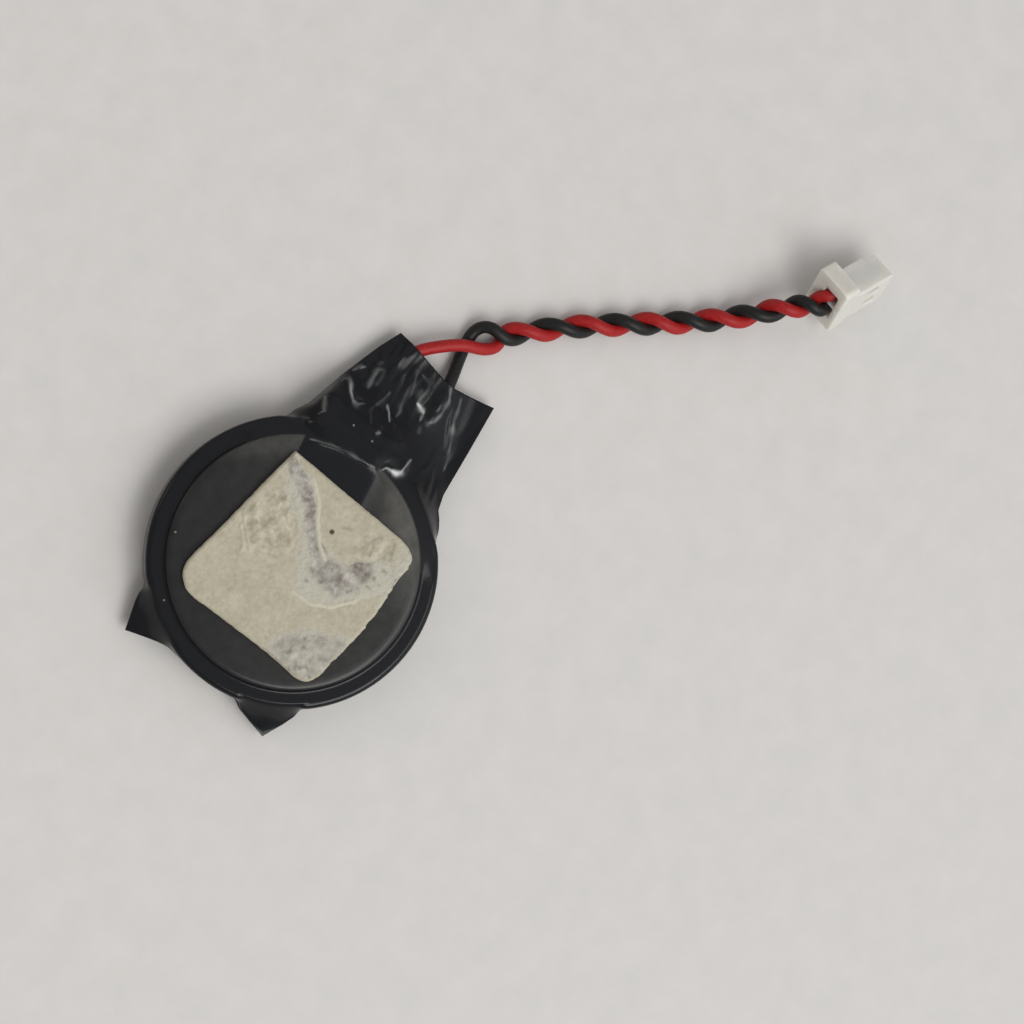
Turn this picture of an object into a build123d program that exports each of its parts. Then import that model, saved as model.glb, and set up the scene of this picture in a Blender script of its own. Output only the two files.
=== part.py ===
from build123d import *
import math
import os

# Backup coin cell with welded tabs in heat-shrink film, foam pad on its face, and a short twisted
# lead to a two-way crimp plug. All sizes are in millimetres.
# Frame: origin on the cell's axis at the underside of the film, +Z up through the foam pad, +X towards
# the flap where the lead leaves.

# ---------------------------------------------------------------------------
# Driving dimensions
# ---------------------------------------------------------------------------
# Cell
cell_diameter = 20.0
cell_height = 3.2
can_wall = 0.25
can_base_round = 0.7  # outer corner radius at the can's base
can_rim_round = 0.45  # outer corner radius where the can is crimped over
can_floor_bevel = 0.3  # bevel between the can's floor and its wall, inside
crimp_drop = 0.4  # the crimped rim lies this far below the cap's face
crimp_reach = 1.1  # how far the crimped lip reaches inwards
cap_setback = 1.5  # the cap stands this far inside the can's edge
cap_wall = 0.25
cap_round = 0.3
hem_height = 0.45  # underside of the cap's hem above the can's floor
gasket_foot = 0.25  # radial thickness of the gasket inside the cap's skirt
anode_thickness = 0.7
anode_clearance = 0.15
separator_thickness = 0.12
ring_thickness = 0.15  # steel ring pressed round the cathode pellet
ring_height = 0.8
pellet_clearance = 0.05

# Tabs
tab_thickness = 0.15
cap_tab_width = 5.6
cap_tab_turn = 10.0  # degrees, the wide tab sits askew on the cap
cap_tab_start = -1.5
cap_tab_offset = 0.55  # its centre line crosses the cell's axis plane this far to +Y
cap_tab_round = 0.4
cap_tab_margin = 0.1  # the wide tab stops this far inside the flat of the cap
tongue_width = 2.3
tongue_turn = -20.0  # degrees, the tongue bends back towards its solder pad
tongue_foot = 0.6  # it lies on the wide tab this far before it starts to drop
tongue_back = 0.4  # the tongue starts this far behind the wide tab's end
tongue_side = 0.9  # and this far to the right of its centre line
tongue_past_rim = 0.55  # it runs over the rim this far before it steps down
tongue_step_run = 1.5  # length of the step down to the solder pad
tab_bend = 0.08  # offset between the two faces of a tab at a bend
rim_play = 0.1  # air between the tape on the rim and the tongue
can_tab_width = 1.8
can_tab_side = 3.2  # centre line of the tab under the can
can_tab_start = -4.0
can_tab_past = 0.7  # it runs on this far past the can before it rises
can_tab_rise_run = 0.9  # length of its slope up to the solder pad
pad_level = 0.85  # top of both solder pads
pad_end = 15.2
tape_thickness = 0.06
tape_width_angle = 26.0  # degrees of the rim that the insulating tape covers
tape_drop = 1.7
tape_setback = 0.45  # from the cap to the tape's inner edge
tape_play = 0.02  # the tape hangs this far off the can's side

# Lead
wire_diameter = 0.9
strand_diameter = 0.127
strand_pitch = 0.13
stripped_length = 1.5
bend_share = 0.45  # share of the shorter run that each bend may take up
lead_gap = 0.02  # play between the two insulated wires
solder_length = 1.7
solder_width = 1.3
solder_height = 0.85
solder_taper = 0.6  # the mound's top against its foot
solder_round = 0.5
solder_top_bevel = 0.2
solder_setback = 0.05  # the mound starts this far behind the insulation

# Film
film = 0.2
film_clearance = 0.05
film_base_round = 0.9
film_shoulder_round = 0.55
film_step_run = 0.12  # slope of the step up onto the cap
mouth_half_width = 4.4
mouth_height = 1.9
mouth_rise = 0.2  # the upper lip arches this much more than the lower one
mouth_share = 0.75  # share of the mouth's width where the lips run level
mouth_depth = 2.0  # the open end is cleared this far in from the can's edge
mouth_cut = 2.6  # half width over which the tube's end stands clear of the ears

tube_end_setback = 0.08  # the open end lies this far inside the can's edge

# The flap's contents, section by section along X: Y of the right edge, of the top's two corners and of the
# left edge, how far the bottom's corners stand inside the edges, then the heights of the bottom, of the
# edges' lower and upper corners, and of the top.
flap_root_setback = 2.0  # the first section lies this far inside the can's edge
flap_root_margin = 0.1  # its edges stop this far inside the can
flap_root_top = (-2.0, 2.6)
flap_root_inset = 1.2
flap_root_edge = (0.7, 3.0)
flap_at_rim = (-5.5, -1.3, 1.7, 5.45, 1.2, film, 0.9, 1.5, 3.52)  # where the sheets leave the can
flap_sections = [
    (10.85, -5.35, -1.2, 1.75, 5.3, 1.2, film, 0.95, 1.3, 3.5),
    (12.0, -5.25, -1.7, 2.3, 5.1, 0.9, 0.5, 0.98, 1.15, 2.05),
    (13.2, -5.15, -2.3, 3.8, 4.85, 0.6, 0.55, 0.98, 1.1, 1.76),
    (14.8, -5.0, -2.4, 3.85, 4.4, 0.3, 0.55, 0.98, 1.1, 1.8),
    (18.8, -4.5, -2.5, 2.9, 3.2, 0.3, 0.58, 0.98, 1.1, 1.9),
]
flap_end = [(17.72, 3.7), (17.4, 2.1), (16.92, -0.7), (16.92, -1.7), (17.68, -4.85)]

# Ears of the open end, corner by corner: reach beyond the can's edge, and bearing in degrees
ear_left = [(0.29, 140.1), (1.06, 141.1), (2.38, 150.0), (0.73, 157.5), (-0.19, 159.7)]
ear_right = [(-0.19, 200.3), (0.92, 200.9), (2.27, 208.7), (0.37, 222.1), (-0.36, 220.8)]
ear_level = 1.35
ear_thickness = 0.55

# Foam pad
foam_thickness = 0.4
adhesive_thickness = 0.05
liner_thickness = 0.06
pad_round = 0.9
pad_left = (-5.35, 5.87)
pad_top = (6.0, 4.7)
pad_right = (5.55, -6.3)
pad_torn_edge = [(-3.6, -5.85), (-5.5, -6.05), (-6.35, -5.35)]
torn_band = [
    (5.95, 4.7),
    (4.6, 4.4),
    (2.9, 3.1),
    (1.7, 0.8),
    (-0.2, -0.05),
    (-1.7, -1.2),
    (-1.5, -3.0),
    (0.3, -5.0),
    (3.4, -6.7),
    (3.9, -5.2),
    (2.0, -2.6),
    (2.05, -0.9),
    (4.9, 2.05),
]
torn_corner = [(-6.6, -1.5), (-4.8, -1.95), (-3.2, -3.3), (-2.2, -5.3), (-1.9, -7.0), (-7.0, -7.0)]

# Plug: two ways, 1.25 pitch
contact_pitch = 1.25
flange_width = 4.4
flange_height = 3.0
flange_length = 1.4
nose_width = 3.0
nose_height = 2.15  # the nose is flush with the flange's top
plug_length = 5.2
nose_chamfer = 0.2
flange_round = 0.25
contact_drop = 0.2  # the contacts lie this far under the middle of the nose
cavity_width = 1.05
cavity_height = 1.3
nose_wall = 0.5  # front wall with the two pin openings
pin_opening = 0.55
window_length = 1.1
window_width = 0.55
window_start = 2.9
rib_width = 0.4
rib_height = 0.25
rib_length = 2.6
box_width = 0.9
box_height = 1.1
box_wall = 0.12
box_length = 1.7
barrel_wall = 0.07
conductor_barrel_length = 0.6
insulation_barrel_length = 0.7
barrel_slot = 0.45  # open slot along the top of the insulation barrel
barrel_gap = 0.15  # from the end of the insulation to the conductor's barrel
terminal_floor_width = 0.4
terminal_floor_overlap = 0.2  # the floor strip reaches this far under the box
plug_strip = 1.0  # bare conductor in each terminal
plug_wire_depth = 1.3  # insulation reaches this far into the housing
plug_entry = 0.35  # from here on the wire runs straight in its way
plug_at = (39.14, -17.67)  # centre of the rear face's lower edge, seen from above
plug_yaw = -23.7
plug_pitch = -17.5  # the plug lies on its side, on one flange corner and the tip of the nose
plug_roll = 67.5

# Routes of the lead's centre lines, chosen points
pair_route = [
    (22.1, -2.1, 0.92),
    (25.0, -4.75, 0.92),
    (28.4, -8.6, 0.93),
    (31.3, -12.05, 0.96),
    (33.9, -14.75, 1.2),
    (35.5, -16.2, 1.95),
    (36.7, -17.2, 2.65),
]
twist_start_angle = 50.0  # degrees that the black wire has risen over the red one where the twist starts
red_start = (15.2, 2.95)
red_bends = [(17.3, 2.15, 1.38), (18.75, 0.68, 1.46), (19.8, -0.5, 1.5), (20.42, -1.45, 1.07)]
black_start = (15.1, -1.55)
black_bends = [(16.9, -1.35, 1.18), (18.6, -0.88, 0.55), (20.1, -0.53, 0.46), (21.3, -0.56, 0.76)]
tail_run = 0.8  # straight run of both tails beside the start of the twist

# ---------------------------------------------------------------------------
# Levels and radii that follow
# ---------------------------------------------------------------------------
cell_radius = cell_diameter / 2
can_inner_radius = cell_radius - can_wall
cap_radius = cell_radius - cap_setback
skirt_inner_radius = cap_radius - cap_wall
lip_radius = cell_radius - crimp_reach
hem_radius = can_inner_radius - 2 * can_wall

cell_base = film + tab_thickness
cell_top = cell_base + cell_height
can_floor = cell_base + can_wall
rim_top = cell_top - crimp_drop
lip_underside = rim_top - can_wall
hem_bottom = can_floor + hem_height
hem_top = hem_bottom + cap_wall
cap_underside = cell_top - cap_wall
cap_tab_top = cell_top + tab_thickness

pad_under = pad_level - tab_thickness
lead_level = pad_level + wire_diameter / 2

film_radius = cell_radius + film_clearance
tube_end = cell_radius - tube_end_setback
flap_root_x = cell_radius - flap_root_setback
flap_root_width = math.sqrt(cell_radius**2 - flap_root_x**2) - flap_root_margin
film_step_radius = cap_radius + film_clearance
film_shoulder = rim_top + film_clearance
film_top = cap_tab_top + film
adhesive_top = film_top + adhesive_thickness
foam_top = adhesive_top + foam_thickness

os.makedirs("parts", exist_ok=True)


def write(piece, label):
    """Label a finished piece and write it under its own name."""
    piece.part.label = label
    export_step(piece.part, f"parts/{label}.step")
    print(f"{label}: {len(piece.part.solids())} solid(s), {piece.part.volume:.3f} mm3")


def corner_at(sketch, place):
    """The corner of a sketch that lies at the given place."""
    return sketch.vertices().sort_by_distance((*place, 0))[0]


# ---------------------------------------------------------------------------
# Coin cell
# ---------------------------------------------------------------------------
with BuildPart() as positive_can:
    with BuildSketch(Plane.XZ) as can_profile:
        with BuildLine():
            Polyline(
                (0, cell_base),
                (cell_radius, cell_base),
                (cell_radius, rim_top),
                (lip_radius, rim_top),
                (lip_radius, lip_underside),
                (can_inner_radius, lip_underside),
                (can_inner_radius, can_floor),
                (0, can_floor),
                close=True,
            )
        make_face()
        fillet(corner_at(can_profile, (cell_radius, cell_base)), radius=can_base_round)
        fillet(corner_at(can_profile, (cell_radius, rim_top)), radius=can_rim_round)
        chamfer(corner_at(can_profile, (can_inner_radius, can_floor)), length=can_floor_bevel)
    revolve(axis=Axis.Z)
write(positive_can, "positive_can")

with BuildPart() as negative_cap:
    with BuildSketch(Plane.XZ) as cap_profile:
        with BuildLine():
            Polyline(
                (0, cell_top),
                (cap_radius, cell_top),
                (cap_radius, hem_top),
                (hem_radius, hem_top),
                (hem_radius, hem_bottom),
                (skirt_inner_radius, hem_bottom),
                (skirt_inner_radius, cap_underside),
                (0, cap_underside),
                close=True,
            )
        make_face()
        fillet(corner_at(cap_profile, (cap_radius, cell_top)), radius=cap_round)
    revolve(axis=Axis.Z)
write(negative_cap, "negative_cap")

with BuildPart() as sealing_gasket:
    foot_radius = skirt_inner_radius - gasket_foot
    with BuildSketch(Plane.XZ) as gasket_profile:
        with BuildLine():
            Polyline(
                (foot_radius, can_floor),
                (can_inner_radius, can_floor),
                (can_inner_radius, lip_underside),
                (lip_radius, lip_underside),
                (lip_radius, rim_top),
                (cap_radius, rim_top),
                (cap_radius, hem_top),
                (hem_radius, hem_top),
                (hem_radius, hem_bottom),
                (foot_radius, hem_bottom),
                close=True,
            )
        make_face()
        chamfer(corner_at(gasket_profile, (can_inner_radius, can_floor)), length=can_floor_bevel)
    revolve(axis=Axis.Z)
write(sealing_gasket, "sealing_gasket")

anode_bottom = cap_underside - anode_thickness
with BuildPart() as lithium_anode:
    with BuildSketch(Plane.XY.offset(anode_bottom)):
        Circle(skirt_inner_radius - anode_clearance)
    extrude(amount=anode_thickness)
write(lithium_anode, "lithium_anode")

separator_bottom = anode_bottom - separator_thickness
with BuildPart() as separator:
    with BuildSketch(Plane.XY.offset(separator_bottom)):
        Circle(skirt_inner_radius - pellet_clearance)
    extrude(amount=separator_thickness)
write(separator, "separator")

ring_radius = skirt_inner_radius - gasket_foot - pellet_clearance
pellet_radius = ring_radius - ring_thickness
with BuildPart() as cathode_ring:
    with BuildSketch(Plane.XY.offset(can_floor)):
        Circle(ring_radius)
        Circle(pellet_radius, mode=Mode.SUBTRACT)
    extrude(amount=ring_height)
write(cathode_ring, "cathode_ring")

with BuildPart() as cathode_pellet:
    with BuildSketch(Plane.XY.offset(can_floor)):
        Circle(pellet_radius)
    extrude(amount=separator_bottom - can_floor)
write(cathode_pellet, "cathode_pellet")

# ---------------------------------------------------------------------------
# Tabs and the tape between them
# ---------------------------------------------------------------------------
cap_tab_end = cap_radius - cap_round - cap_tab_margin
tab_direction = Vector(1, 0).rotate(Axis.Z, cap_tab_turn)
tongue_direction = Vector(1, 0).rotate(Axis.Z, tongue_turn)
tongue_root = Vector(0, cap_tab_offset - tongue_side) + tab_direction * (cap_tab_end - tongue_back)
rim_crossing = cell_radius - tongue_root.X + tongue_past_rim
tongue_step = rim_crossing + tongue_step_run
tongue_end = (pad_end - tongue_root.X) / tongue_direction.X
over_rim = rim_top + tape_thickness + rim_play

with BuildPart() as negative_tab:
    plate_middle = Vector(0, cap_tab_offset) + tab_direction * ((cap_tab_start + cap_radius) / 2)
    with BuildSketch(Plane.XY.offset(cell_top)):
        with Locations(Location((plate_middle.X, plate_middle.Y, 0), (0, 0, cap_tab_turn))):
            RectangleRounded(cap_radius - cap_tab_start, cap_tab_width, cap_tab_round)
        Circle(cap_tab_end, mode=Mode.INTERSECT)
    extrude(amount=tab_thickness)
    side_plane = Plane(
        origin=(tongue_root.X, tongue_root.Y, 0),
        x_dir=tongue_direction,
        z_dir=tongue_direction.cross(Vector(0, 0, 1)),
    )
    with BuildSketch(side_plane):
        with BuildLine():
            Polyline(
                (0, cell_top),
                (0, cap_tab_top),
                (rim_crossing, over_rim + tab_thickness),
                (tongue_step, pad_level),
                (tongue_end, pad_level),
                (tongue_end, pad_under),
                (tongue_step - tab_bend, pad_under),
                (rim_crossing - tab_bend, over_rim),
                (tongue_foot, cell_top),
                close=True,
            )
        make_face()
    extrude(amount=tongue_width / 2, both=True)
write(negative_tab, "negative_tab")

can_tab_rise = math.sqrt(cell_radius**2 - can_tab_side**2) + can_tab_past
can_tab_level = can_tab_rise + can_tab_rise_run
with BuildPart() as positive_tab:
    with BuildSketch(Plane.XZ.offset(-can_tab_side)):
        with BuildLine():
            Polyline(
                (can_tab_start, film),
                (can_tab_rise, film),
                (can_tab_level, pad_under),
                (pad_end, pad_under),
                (pad_end, pad_level),
                (can_tab_level - tab_bend, pad_level),
                (can_tab_rise - tab_bend, cell_base),
                (can_tab_start, cell_base),
                close=True,
            )
        make_face()
    extrude(amount=can_tab_width / 2, both=True)
write(positive_tab, "positive_tab")

with BuildPart() as tab_insulation_tape:
    tape_inner_radius = cap_radius + tape_setback
    tape_side_radius = cell_radius + tape_play
    tape_outer_radius = tape_side_radius + tape_thickness
    tongue_crossing = tongue_root.Y + rim_crossing * tongue_direction.Y
    tape_heading = math.degrees(math.atan2(tongue_crossing, cell_radius))
    tape_plane = Plane.XZ.rotated((0, 0, tape_heading - tape_width_angle / 2))
    with BuildSketch(tape_plane):
        with BuildLine():
            Polyline(
                (tape_inner_radius, rim_top),
                (tape_inner_radius, rim_top + tape_thickness),
                (tape_outer_radius, rim_top + tape_thickness),
                (tape_outer_radius, rim_top - tape_drop),
                (tape_side_radius, rim_top - tape_drop),
                (tape_side_radius, rim_top),
                close=True,
            )
        make_face()
    revolve(axis=Axis.Z, revolution_arc=tape_width_angle)
write(tab_insulation_tape, "tab_insulation_tape")


# ---------------------------------------------------------------------------
# Lead: bare strands, solder, tails and the twisted pair
# ---------------------------------------------------------------------------
def largest_radii(points):
    """One bend radius for each corner, as large as its two runs allow."""
    radii = []
    for before, corner, after in zip(points, points[1:], points[2:]):
        run_in = corner - before
        run_out = after - corner
        half_turn = math.radians(run_in.get_angle(run_out)) / 2
        radii.append(bend_share * min(run_in.length, run_out.length) / math.tan(half_turn))
    return radii


def lead_tube(route, diameter, label):
    """A plain tube along straight runs joined by tangent arcs."""
    points = [Vector(*place) for place in route]
    radii = largest_radii(points)
    with BuildPart() as tube:
        with BuildLine():
            centre_line = FilletPolyline(*points, radius=radii)
        with BuildSketch(Plane(origin=centre_line @ 0, z_dir=centre_line % 0)):
            Circle(diameter / 2)
        sweep()
    expected = math.pi * (diameter / 2) ** 2 * centre_line.length
    print(label, "length", round(centre_line.length, 2), "radii", [round(r, 2) for r in radii])
    print(label, "volume against section times length", round(tube.part.volume / expected, 4))
    write(tube, label)
    return tube


def strand_bundle(start, back, length):
    """Seven bare strands lying side by side behind the end of the insulation."""
    with BuildPart() as bundle:
        with BuildSketch(Plane(origin=start, z_dir=back)):
            Circle(strand_diameter / 2)
            with PolarLocations(strand_pitch, 6):
                Circle(strand_diameter / 2)
        extrude(amount=length)
    return bundle


def solder_joint(start, back, strands):
    """A mound of solder over the strands on its pad, with the strands' own space left out."""
    flat_back = Vector(back.X, back.Y, 0).normalized()
    foot = Vector(start.X, start.Y, pad_level) + flat_back * (solder_length / 2 + solder_setback)
    top = foot + Vector(0, 0, solder_height)
    with BuildPart() as mound:
        with BuildSketch(Plane(origin=foot, x_dir=flat_back, z_dir=(0, 0, 1))):
            RectangleRounded(solder_length, solder_width, solder_round)
        with BuildSketch(Plane(origin=top, x_dir=flat_back, z_dir=(0, 0, 1))):
            RectangleRounded(*[solder_taper * size for size in (solder_length, solder_width, solder_round)])
        loft()
        chamfer(mound.faces().sort_by(Axis.Z)[-1].edges(), length=solder_top_bevel)
        add(strands.part, mode=Mode.SUBTRACT)
    return mound


pair_points = [Vector(*place) for place in pair_route]
pair_heading = (pair_points[1] - pair_points[0]).normalized()
pair_side = Vector(0, 0, 1).cross(pair_heading).normalized()
half_spread = (wire_diameter + lead_gap) / 2

over_pair = pair_side.rotate(Axis((0, 0, 0), pair_heading), twist_start_angle)
red_end = pair_points[0] - over_pair * half_spread
black_end = pair_points[0] + over_pair * half_spread
red_route = [(*red_start, lead_level), *red_bends, red_end - pair_heading * tail_run, red_end]
black_route = [(*black_start, lead_level), *black_bends, black_end - pair_heading * tail_run, black_end]

for colour, route in (("red", red_route), ("black", black_route)):
    insulation_start = Vector(*route[0])
    backwards = (insulation_start - Vector(*route[1])).normalized()
    strands = strand_bundle(insulation_start, backwards, stripped_length)
    write(strands, f"{colour}_bare_strands")
    write(solder_joint(insulation_start, backwards, strands), f"{colour}_solder_joint")

lead_tube(red_route, wire_diameter, "red_lead_tail")
lead_tube(black_route, wire_diameter, "black_lead_tail")
lead_tube(pair_route, 2 * wire_diameter + lead_gap, "twisted_pair")

# ---------------------------------------------------------------------------
# Plug
# ---------------------------------------------------------------------------
plug_turn = Location((0, 0, 0), (0, 0, plug_yaw)) * Location((0, 0, 0), (0, -plug_pitch, 0))
plug_turn = plug_turn * Location((0, 0, 0), (plug_roll, 0, 0))
nose_base = flange_height - nose_height
contact_level = nose_base + nose_height / 2 - contact_drop
rest_corners = [
    (flange_length, -flange_width / 2, 0),
    (plug_length, -nose_width / 2, nose_base),
]
drop = min((plug_turn * Location(corner)).position.Z for corner in rest_corners)
plug_frame = Plane(Location((*plug_at, -drop)) * plug_turn)
ways = [(side * contact_pitch / 2, contact_level) for side in (1, -1)]


def across_plug(distance):
    """A plane square to the plug's axis, with its own X to the plug's left and Y upwards."""
    place = plug_frame.from_local_coords((distance, 0, 0))
    return Plane(origin=place, x_dir=plug_frame.y_dir, z_dir=plug_frame.x_dir)


def over_plug(height):
    """A plane parallel to the plug's top, with its own X along the plug."""
    place = plug_frame.from_local_coords((0, 0, height))
    return Plane(origin=place, x_dir=plug_frame.x_dir, z_dir=plug_frame.z_dir)


with BuildPart() as connector_housing:
    with BuildSketch(across_plug(0)):
        with Locations((0, flange_height / 2)):
            RectangleRounded(flange_width, flange_height, flange_round)
    extrude(amount=flange_length)
    with BuildSketch(across_plug(flange_length)):
        with Locations((0, nose_base + nose_height / 2)):
            Rectangle(nose_width, nose_height)
    extrude(amount=plug_length - flange_length)
    nose_face = connector_housing.faces().sort_by(Axis(plug_frame.origin, plug_frame.x_dir))[-1]
    chamfer(nose_face.edges(), length=nose_chamfer)
    with BuildSketch(over_plug(nose_base)):
        for side in (1, -1):
            with Locations((flange_length + rib_length / 2, side * (nose_width - rib_width) / 2)):
                Rectangle(rib_length, rib_width)
    extrude(amount=-rib_height)
    with BuildSketch(across_plug(0)):
        with Locations(*ways):
            Rectangle(cavity_width, cavity_height)
    extrude(amount=plug_length - nose_wall, mode=Mode.SUBTRACT)
    with BuildSketch(across_plug(plug_length - nose_wall)):
        with Locations(*ways):
            Rectangle(pin_opening, pin_opening)
    extrude(amount=nose_wall, mode=Mode.SUBTRACT)
    with BuildSketch(over_plug(contact_level)):
        for side in (1, -1):
            with Locations((window_start + window_length / 2, side * contact_pitch / 2)):
                Rectangle(window_length, window_width)
    extrude(amount=flange_height, mode=Mode.SUBTRACT)
write(connector_housing, "connector_housing")

box_back = plug_length - nose_wall - box_length
strip_end = plug_wire_depth + plug_strip
for colour, side in (("red", 1), ("black", -1)):
    way = side * contact_pitch / 2
    with BuildPart() as conductor:
        with BuildSketch(across_plug(plug_wire_depth)):
            with Locations((way, contact_level)):
                Circle(strand_diameter / 2)
                with PolarLocations(strand_pitch, 6):
                    Circle(strand_diameter / 2)
        extrude(amount=plug_strip)
    write(conductor, f"{colour}_plug_strands")

    with BuildPart() as terminal:
        barrel_inner = strand_pitch + strand_diameter / 2
        barrel_outer = barrel_inner + barrel_wall
        insulation_outer = wire_diameter / 2 + barrel_wall
        insulation_start = plug_wire_depth - insulation_barrel_length
        conductor_start = plug_wire_depth + barrel_gap
        with BuildSketch(across_plug(box_back)):
            with Locations((way, contact_level)):
                Rectangle(box_width, box_height)
                Rectangle(box_width - 2 * box_wall, box_height - 2 * box_wall, mode=Mode.SUBTRACT)
        extrude(amount=box_length)
        with BuildSketch(across_plug(insulation_start)):
            with Locations((way, contact_level)):
                Circle(insulation_outer)
                Circle(wire_diameter / 2, mode=Mode.SUBTRACT)
            with Locations((way, contact_level + wire_diameter / 2)):
                Rectangle(barrel_slot, barrel_slot, mode=Mode.SUBTRACT)
        extrude(amount=insulation_barrel_length)
        with BuildSketch(across_plug(conductor_start)):
            with Locations((way, contact_level)):
                Circle(barrel_outer)
                Circle(barrel_inner, mode=Mode.SUBTRACT)
        extrude(amount=conductor_barrel_length)
        floor_level = contact_level - insulation_outer
        floor_end = box_back + terminal_floor_overlap
        with BuildSketch(over_plug(floor_level)):
            with Locations(((insulation_start + floor_end) / 2, way)):
                Rectangle(floor_end - insulation_start, terminal_floor_width)
        extrude(amount=insulation_outer - barrel_outer + barrel_wall / 2)
        with BuildSketch(across_plug(insulation_start)):
            with Locations((way, contact_level)):
                Circle(wire_diameter / 2)
        extrude(amount=insulation_barrel_length, mode=Mode.SUBTRACT)
    write(terminal, f"crimp_terminal_{colour}")

# Each wire leaves the end of the twist and runs straight into its way of the plug.
pair_last = (pair_points[-1] - pair_points[-2]).normalized()
beside_pair = (plug_frame.y_dir - pair_last * plug_frame.y_dir.dot(pair_last)).normalized()
for colour, side in (("red", 1), ("black", -1)):
    way = side * contact_pitch / 2
    way_entry = plug_frame.from_local_coords((plug_entry, way, contact_level))
    way_end = plug_frame.from_local_coords((plug_wire_depth, way, contact_level))
    twist_end = pair_points[-1] + beside_pair * (side * half_spread)
    with BuildPart() as lead_end:
        with BuildLine():
            curve = Spline(twist_end, way_entry, tangents=[pair_last, plug_frame.x_dir])
            Line(way_entry, way_end)
        with BuildSketch(Plane(origin=curve @ 0, z_dir=curve % 0)):
            Circle(wire_diameter / 2)
        sweep()
    write(lead_end, f"{colour}_lead_end")


# ---------------------------------------------------------------------------
# Heat-shrink film
# ---------------------------------------------------------------------------
root_widths = (-flap_root_width, *flap_root_top, flap_root_width, flap_root_inset)
all_flap_sections = [
    (flap_root_x, *root_widths, film, *flap_root_edge, cap_tab_top),
    (cell_radius, *flap_at_rim),
    *flap_sections,
]


def beyond_can(corner):
    """A place given by its reach beyond the can's edge and its bearing."""
    reach, bearing = corner
    return tuple(Vector(cell_radius + reach, 0).rotate(Axis.Z, bearing))[:2]


def wrapped_form(grow):
    """The film's contents as one lump, grown by a wall: the stepped disc and the tapering flap."""
    with BuildPart() as form:
        with BuildSketch(Plane.XZ) as profile:
            with BuildLine():
                Polyline(
                    (0, film - grow),
                    (film_radius + grow, film - grow),
                    (film_radius + grow, film_shoulder + grow),
                    (film_step_radius + film_step_run + grow, film_shoulder + grow),
                    (film_step_radius + grow, cap_tab_top + grow),
                    (0, cap_tab_top + grow),
                    close=True,
                )
            make_face()
            for level, outer_round in (
                (film - grow, film_base_round),
                (film_shoulder + grow, film_shoulder_round),
            ):
                edge = corner_at(profile, (film_radius + grow, level))
                if grow > 0:
                    fillet(edge, radius=outer_round)
                else:
                    chamfer(edge, length=(outer_round - film) / 2)
        revolve(axis=Axis.Z)
        for x, right, top_right, top_left, left, inset, bottom, edge_low, edge_high, top in all_flap_sections:
            root_wall = grow if x == flap_root_x else 0
            with BuildSketch(Plane.YZ.offset(x - root_wall)):
                with BuildLine():
                    Polyline(
                        (right - grow, edge_low - grow),
                        (right + inset, bottom - grow),
                        (left - inset, bottom - grow),
                        (left + grow, edge_low - grow),
                        (left + grow, edge_high + grow),
                        (top_left, top + grow),
                        (top_right, top + grow),
                        (right - grow, edge_high + grow),
                        close=True,
                    )
                make_face()
        loft(ruled=True)
    return form


film_contents = wrapped_form(0)
with BuildPart() as heat_shrink_sleeve:
    add(wrapped_form(film).part)
    for ear in (ear_left, ear_right):
        with BuildSketch(Plane.XY.offset(ear_level - ear_thickness / 2)):
            with BuildLine():
                Polyline(*[beyond_can(corner) for corner in ear], close=True)
            make_face()
        extrude(amount=ear_thickness)
    add(film_contents.part, mode=Mode.SUBTRACT)
    with BuildSketch(Plane.XY):
        with BuildLine():
            Polyline(
                *flap_end,
                (flap_end[-1][0], -cell_radius),
                (2 * cell_radius, -cell_radius),
                (2 * cell_radius, cell_radius),
                (flap_end[0][0], cell_radius),
                close=True,
            )
        make_face()
    extrude(amount=film_top + film, mode=Mode.SUBTRACT)
    with BuildSketch(Plane.YZ.offset(-cell_diameter)):
        with BuildLine():
            Polyline(
                (-mouth_half_width, ear_level),
                (-mouth_share * mouth_half_width, ear_level + mouth_height / 2 + mouth_rise),
                (mouth_share * mouth_half_width, ear_level + mouth_height / 2 + mouth_rise),
                (mouth_half_width, ear_level),
                (mouth_share * mouth_half_width, ear_level - mouth_height / 2),
                (-mouth_share * mouth_half_width, ear_level - mouth_height / 2),
                close=True,
            )
        make_face()
    extrude(amount=cell_diameter / 2 + mouth_depth, mode=Mode.SUBTRACT)
    with BuildSketch(Plane.XY.offset(-film)):
        with Locations((-tube_end - film_radius / 2, 0)):
            Rectangle(film_radius, 2 * mouth_cut)
    extrude(amount=film_top + 2 * film, mode=Mode.SUBTRACT)
write(heat_shrink_sleeve, "heat_shrink_sleeve")

# ---------------------------------------------------------------------------
# Foam pad with its torn liner
# ---------------------------------------------------------------------------
def pad_outline():
    """The square pad seen from above: two rounded corners, one sharp, one torn off."""
    with BuildSketch(mode=Mode.PRIVATE) as outline:
        with BuildLine():
            Polyline(pad_left, pad_top, pad_right, *pad_torn_edge, close=True)
        make_face()
        fillet([corner_at(outline, pad_left), corner_at(outline, pad_right)], radius=pad_round)
    return outline.sketch


with BuildPart() as pad_adhesive:
    with BuildSketch(Plane.XY.offset(film_top)):
        add(pad_outline())
    extrude(amount=adhesive_thickness)
write(pad_adhesive, "pad_adhesive")

with BuildPart() as foam_pad:
    with BuildSketch(Plane.XY.offset(adhesive_top)):
        add(pad_outline())
    extrude(amount=foam_thickness)
write(foam_pad, "foam_pad")

with BuildPart() as torn_liner:
    with BuildSketch(Plane.XY.offset(foam_top)):
        for rag in (torn_band, torn_corner):
            with BuildLine():
                Polyline(*rag, close=True)
            make_face()
        add(pad_outline(), mode=Mode.INTERSECT)
    extrude(amount=liner_thickness)
write(torn_liner, "torn_liner")
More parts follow.
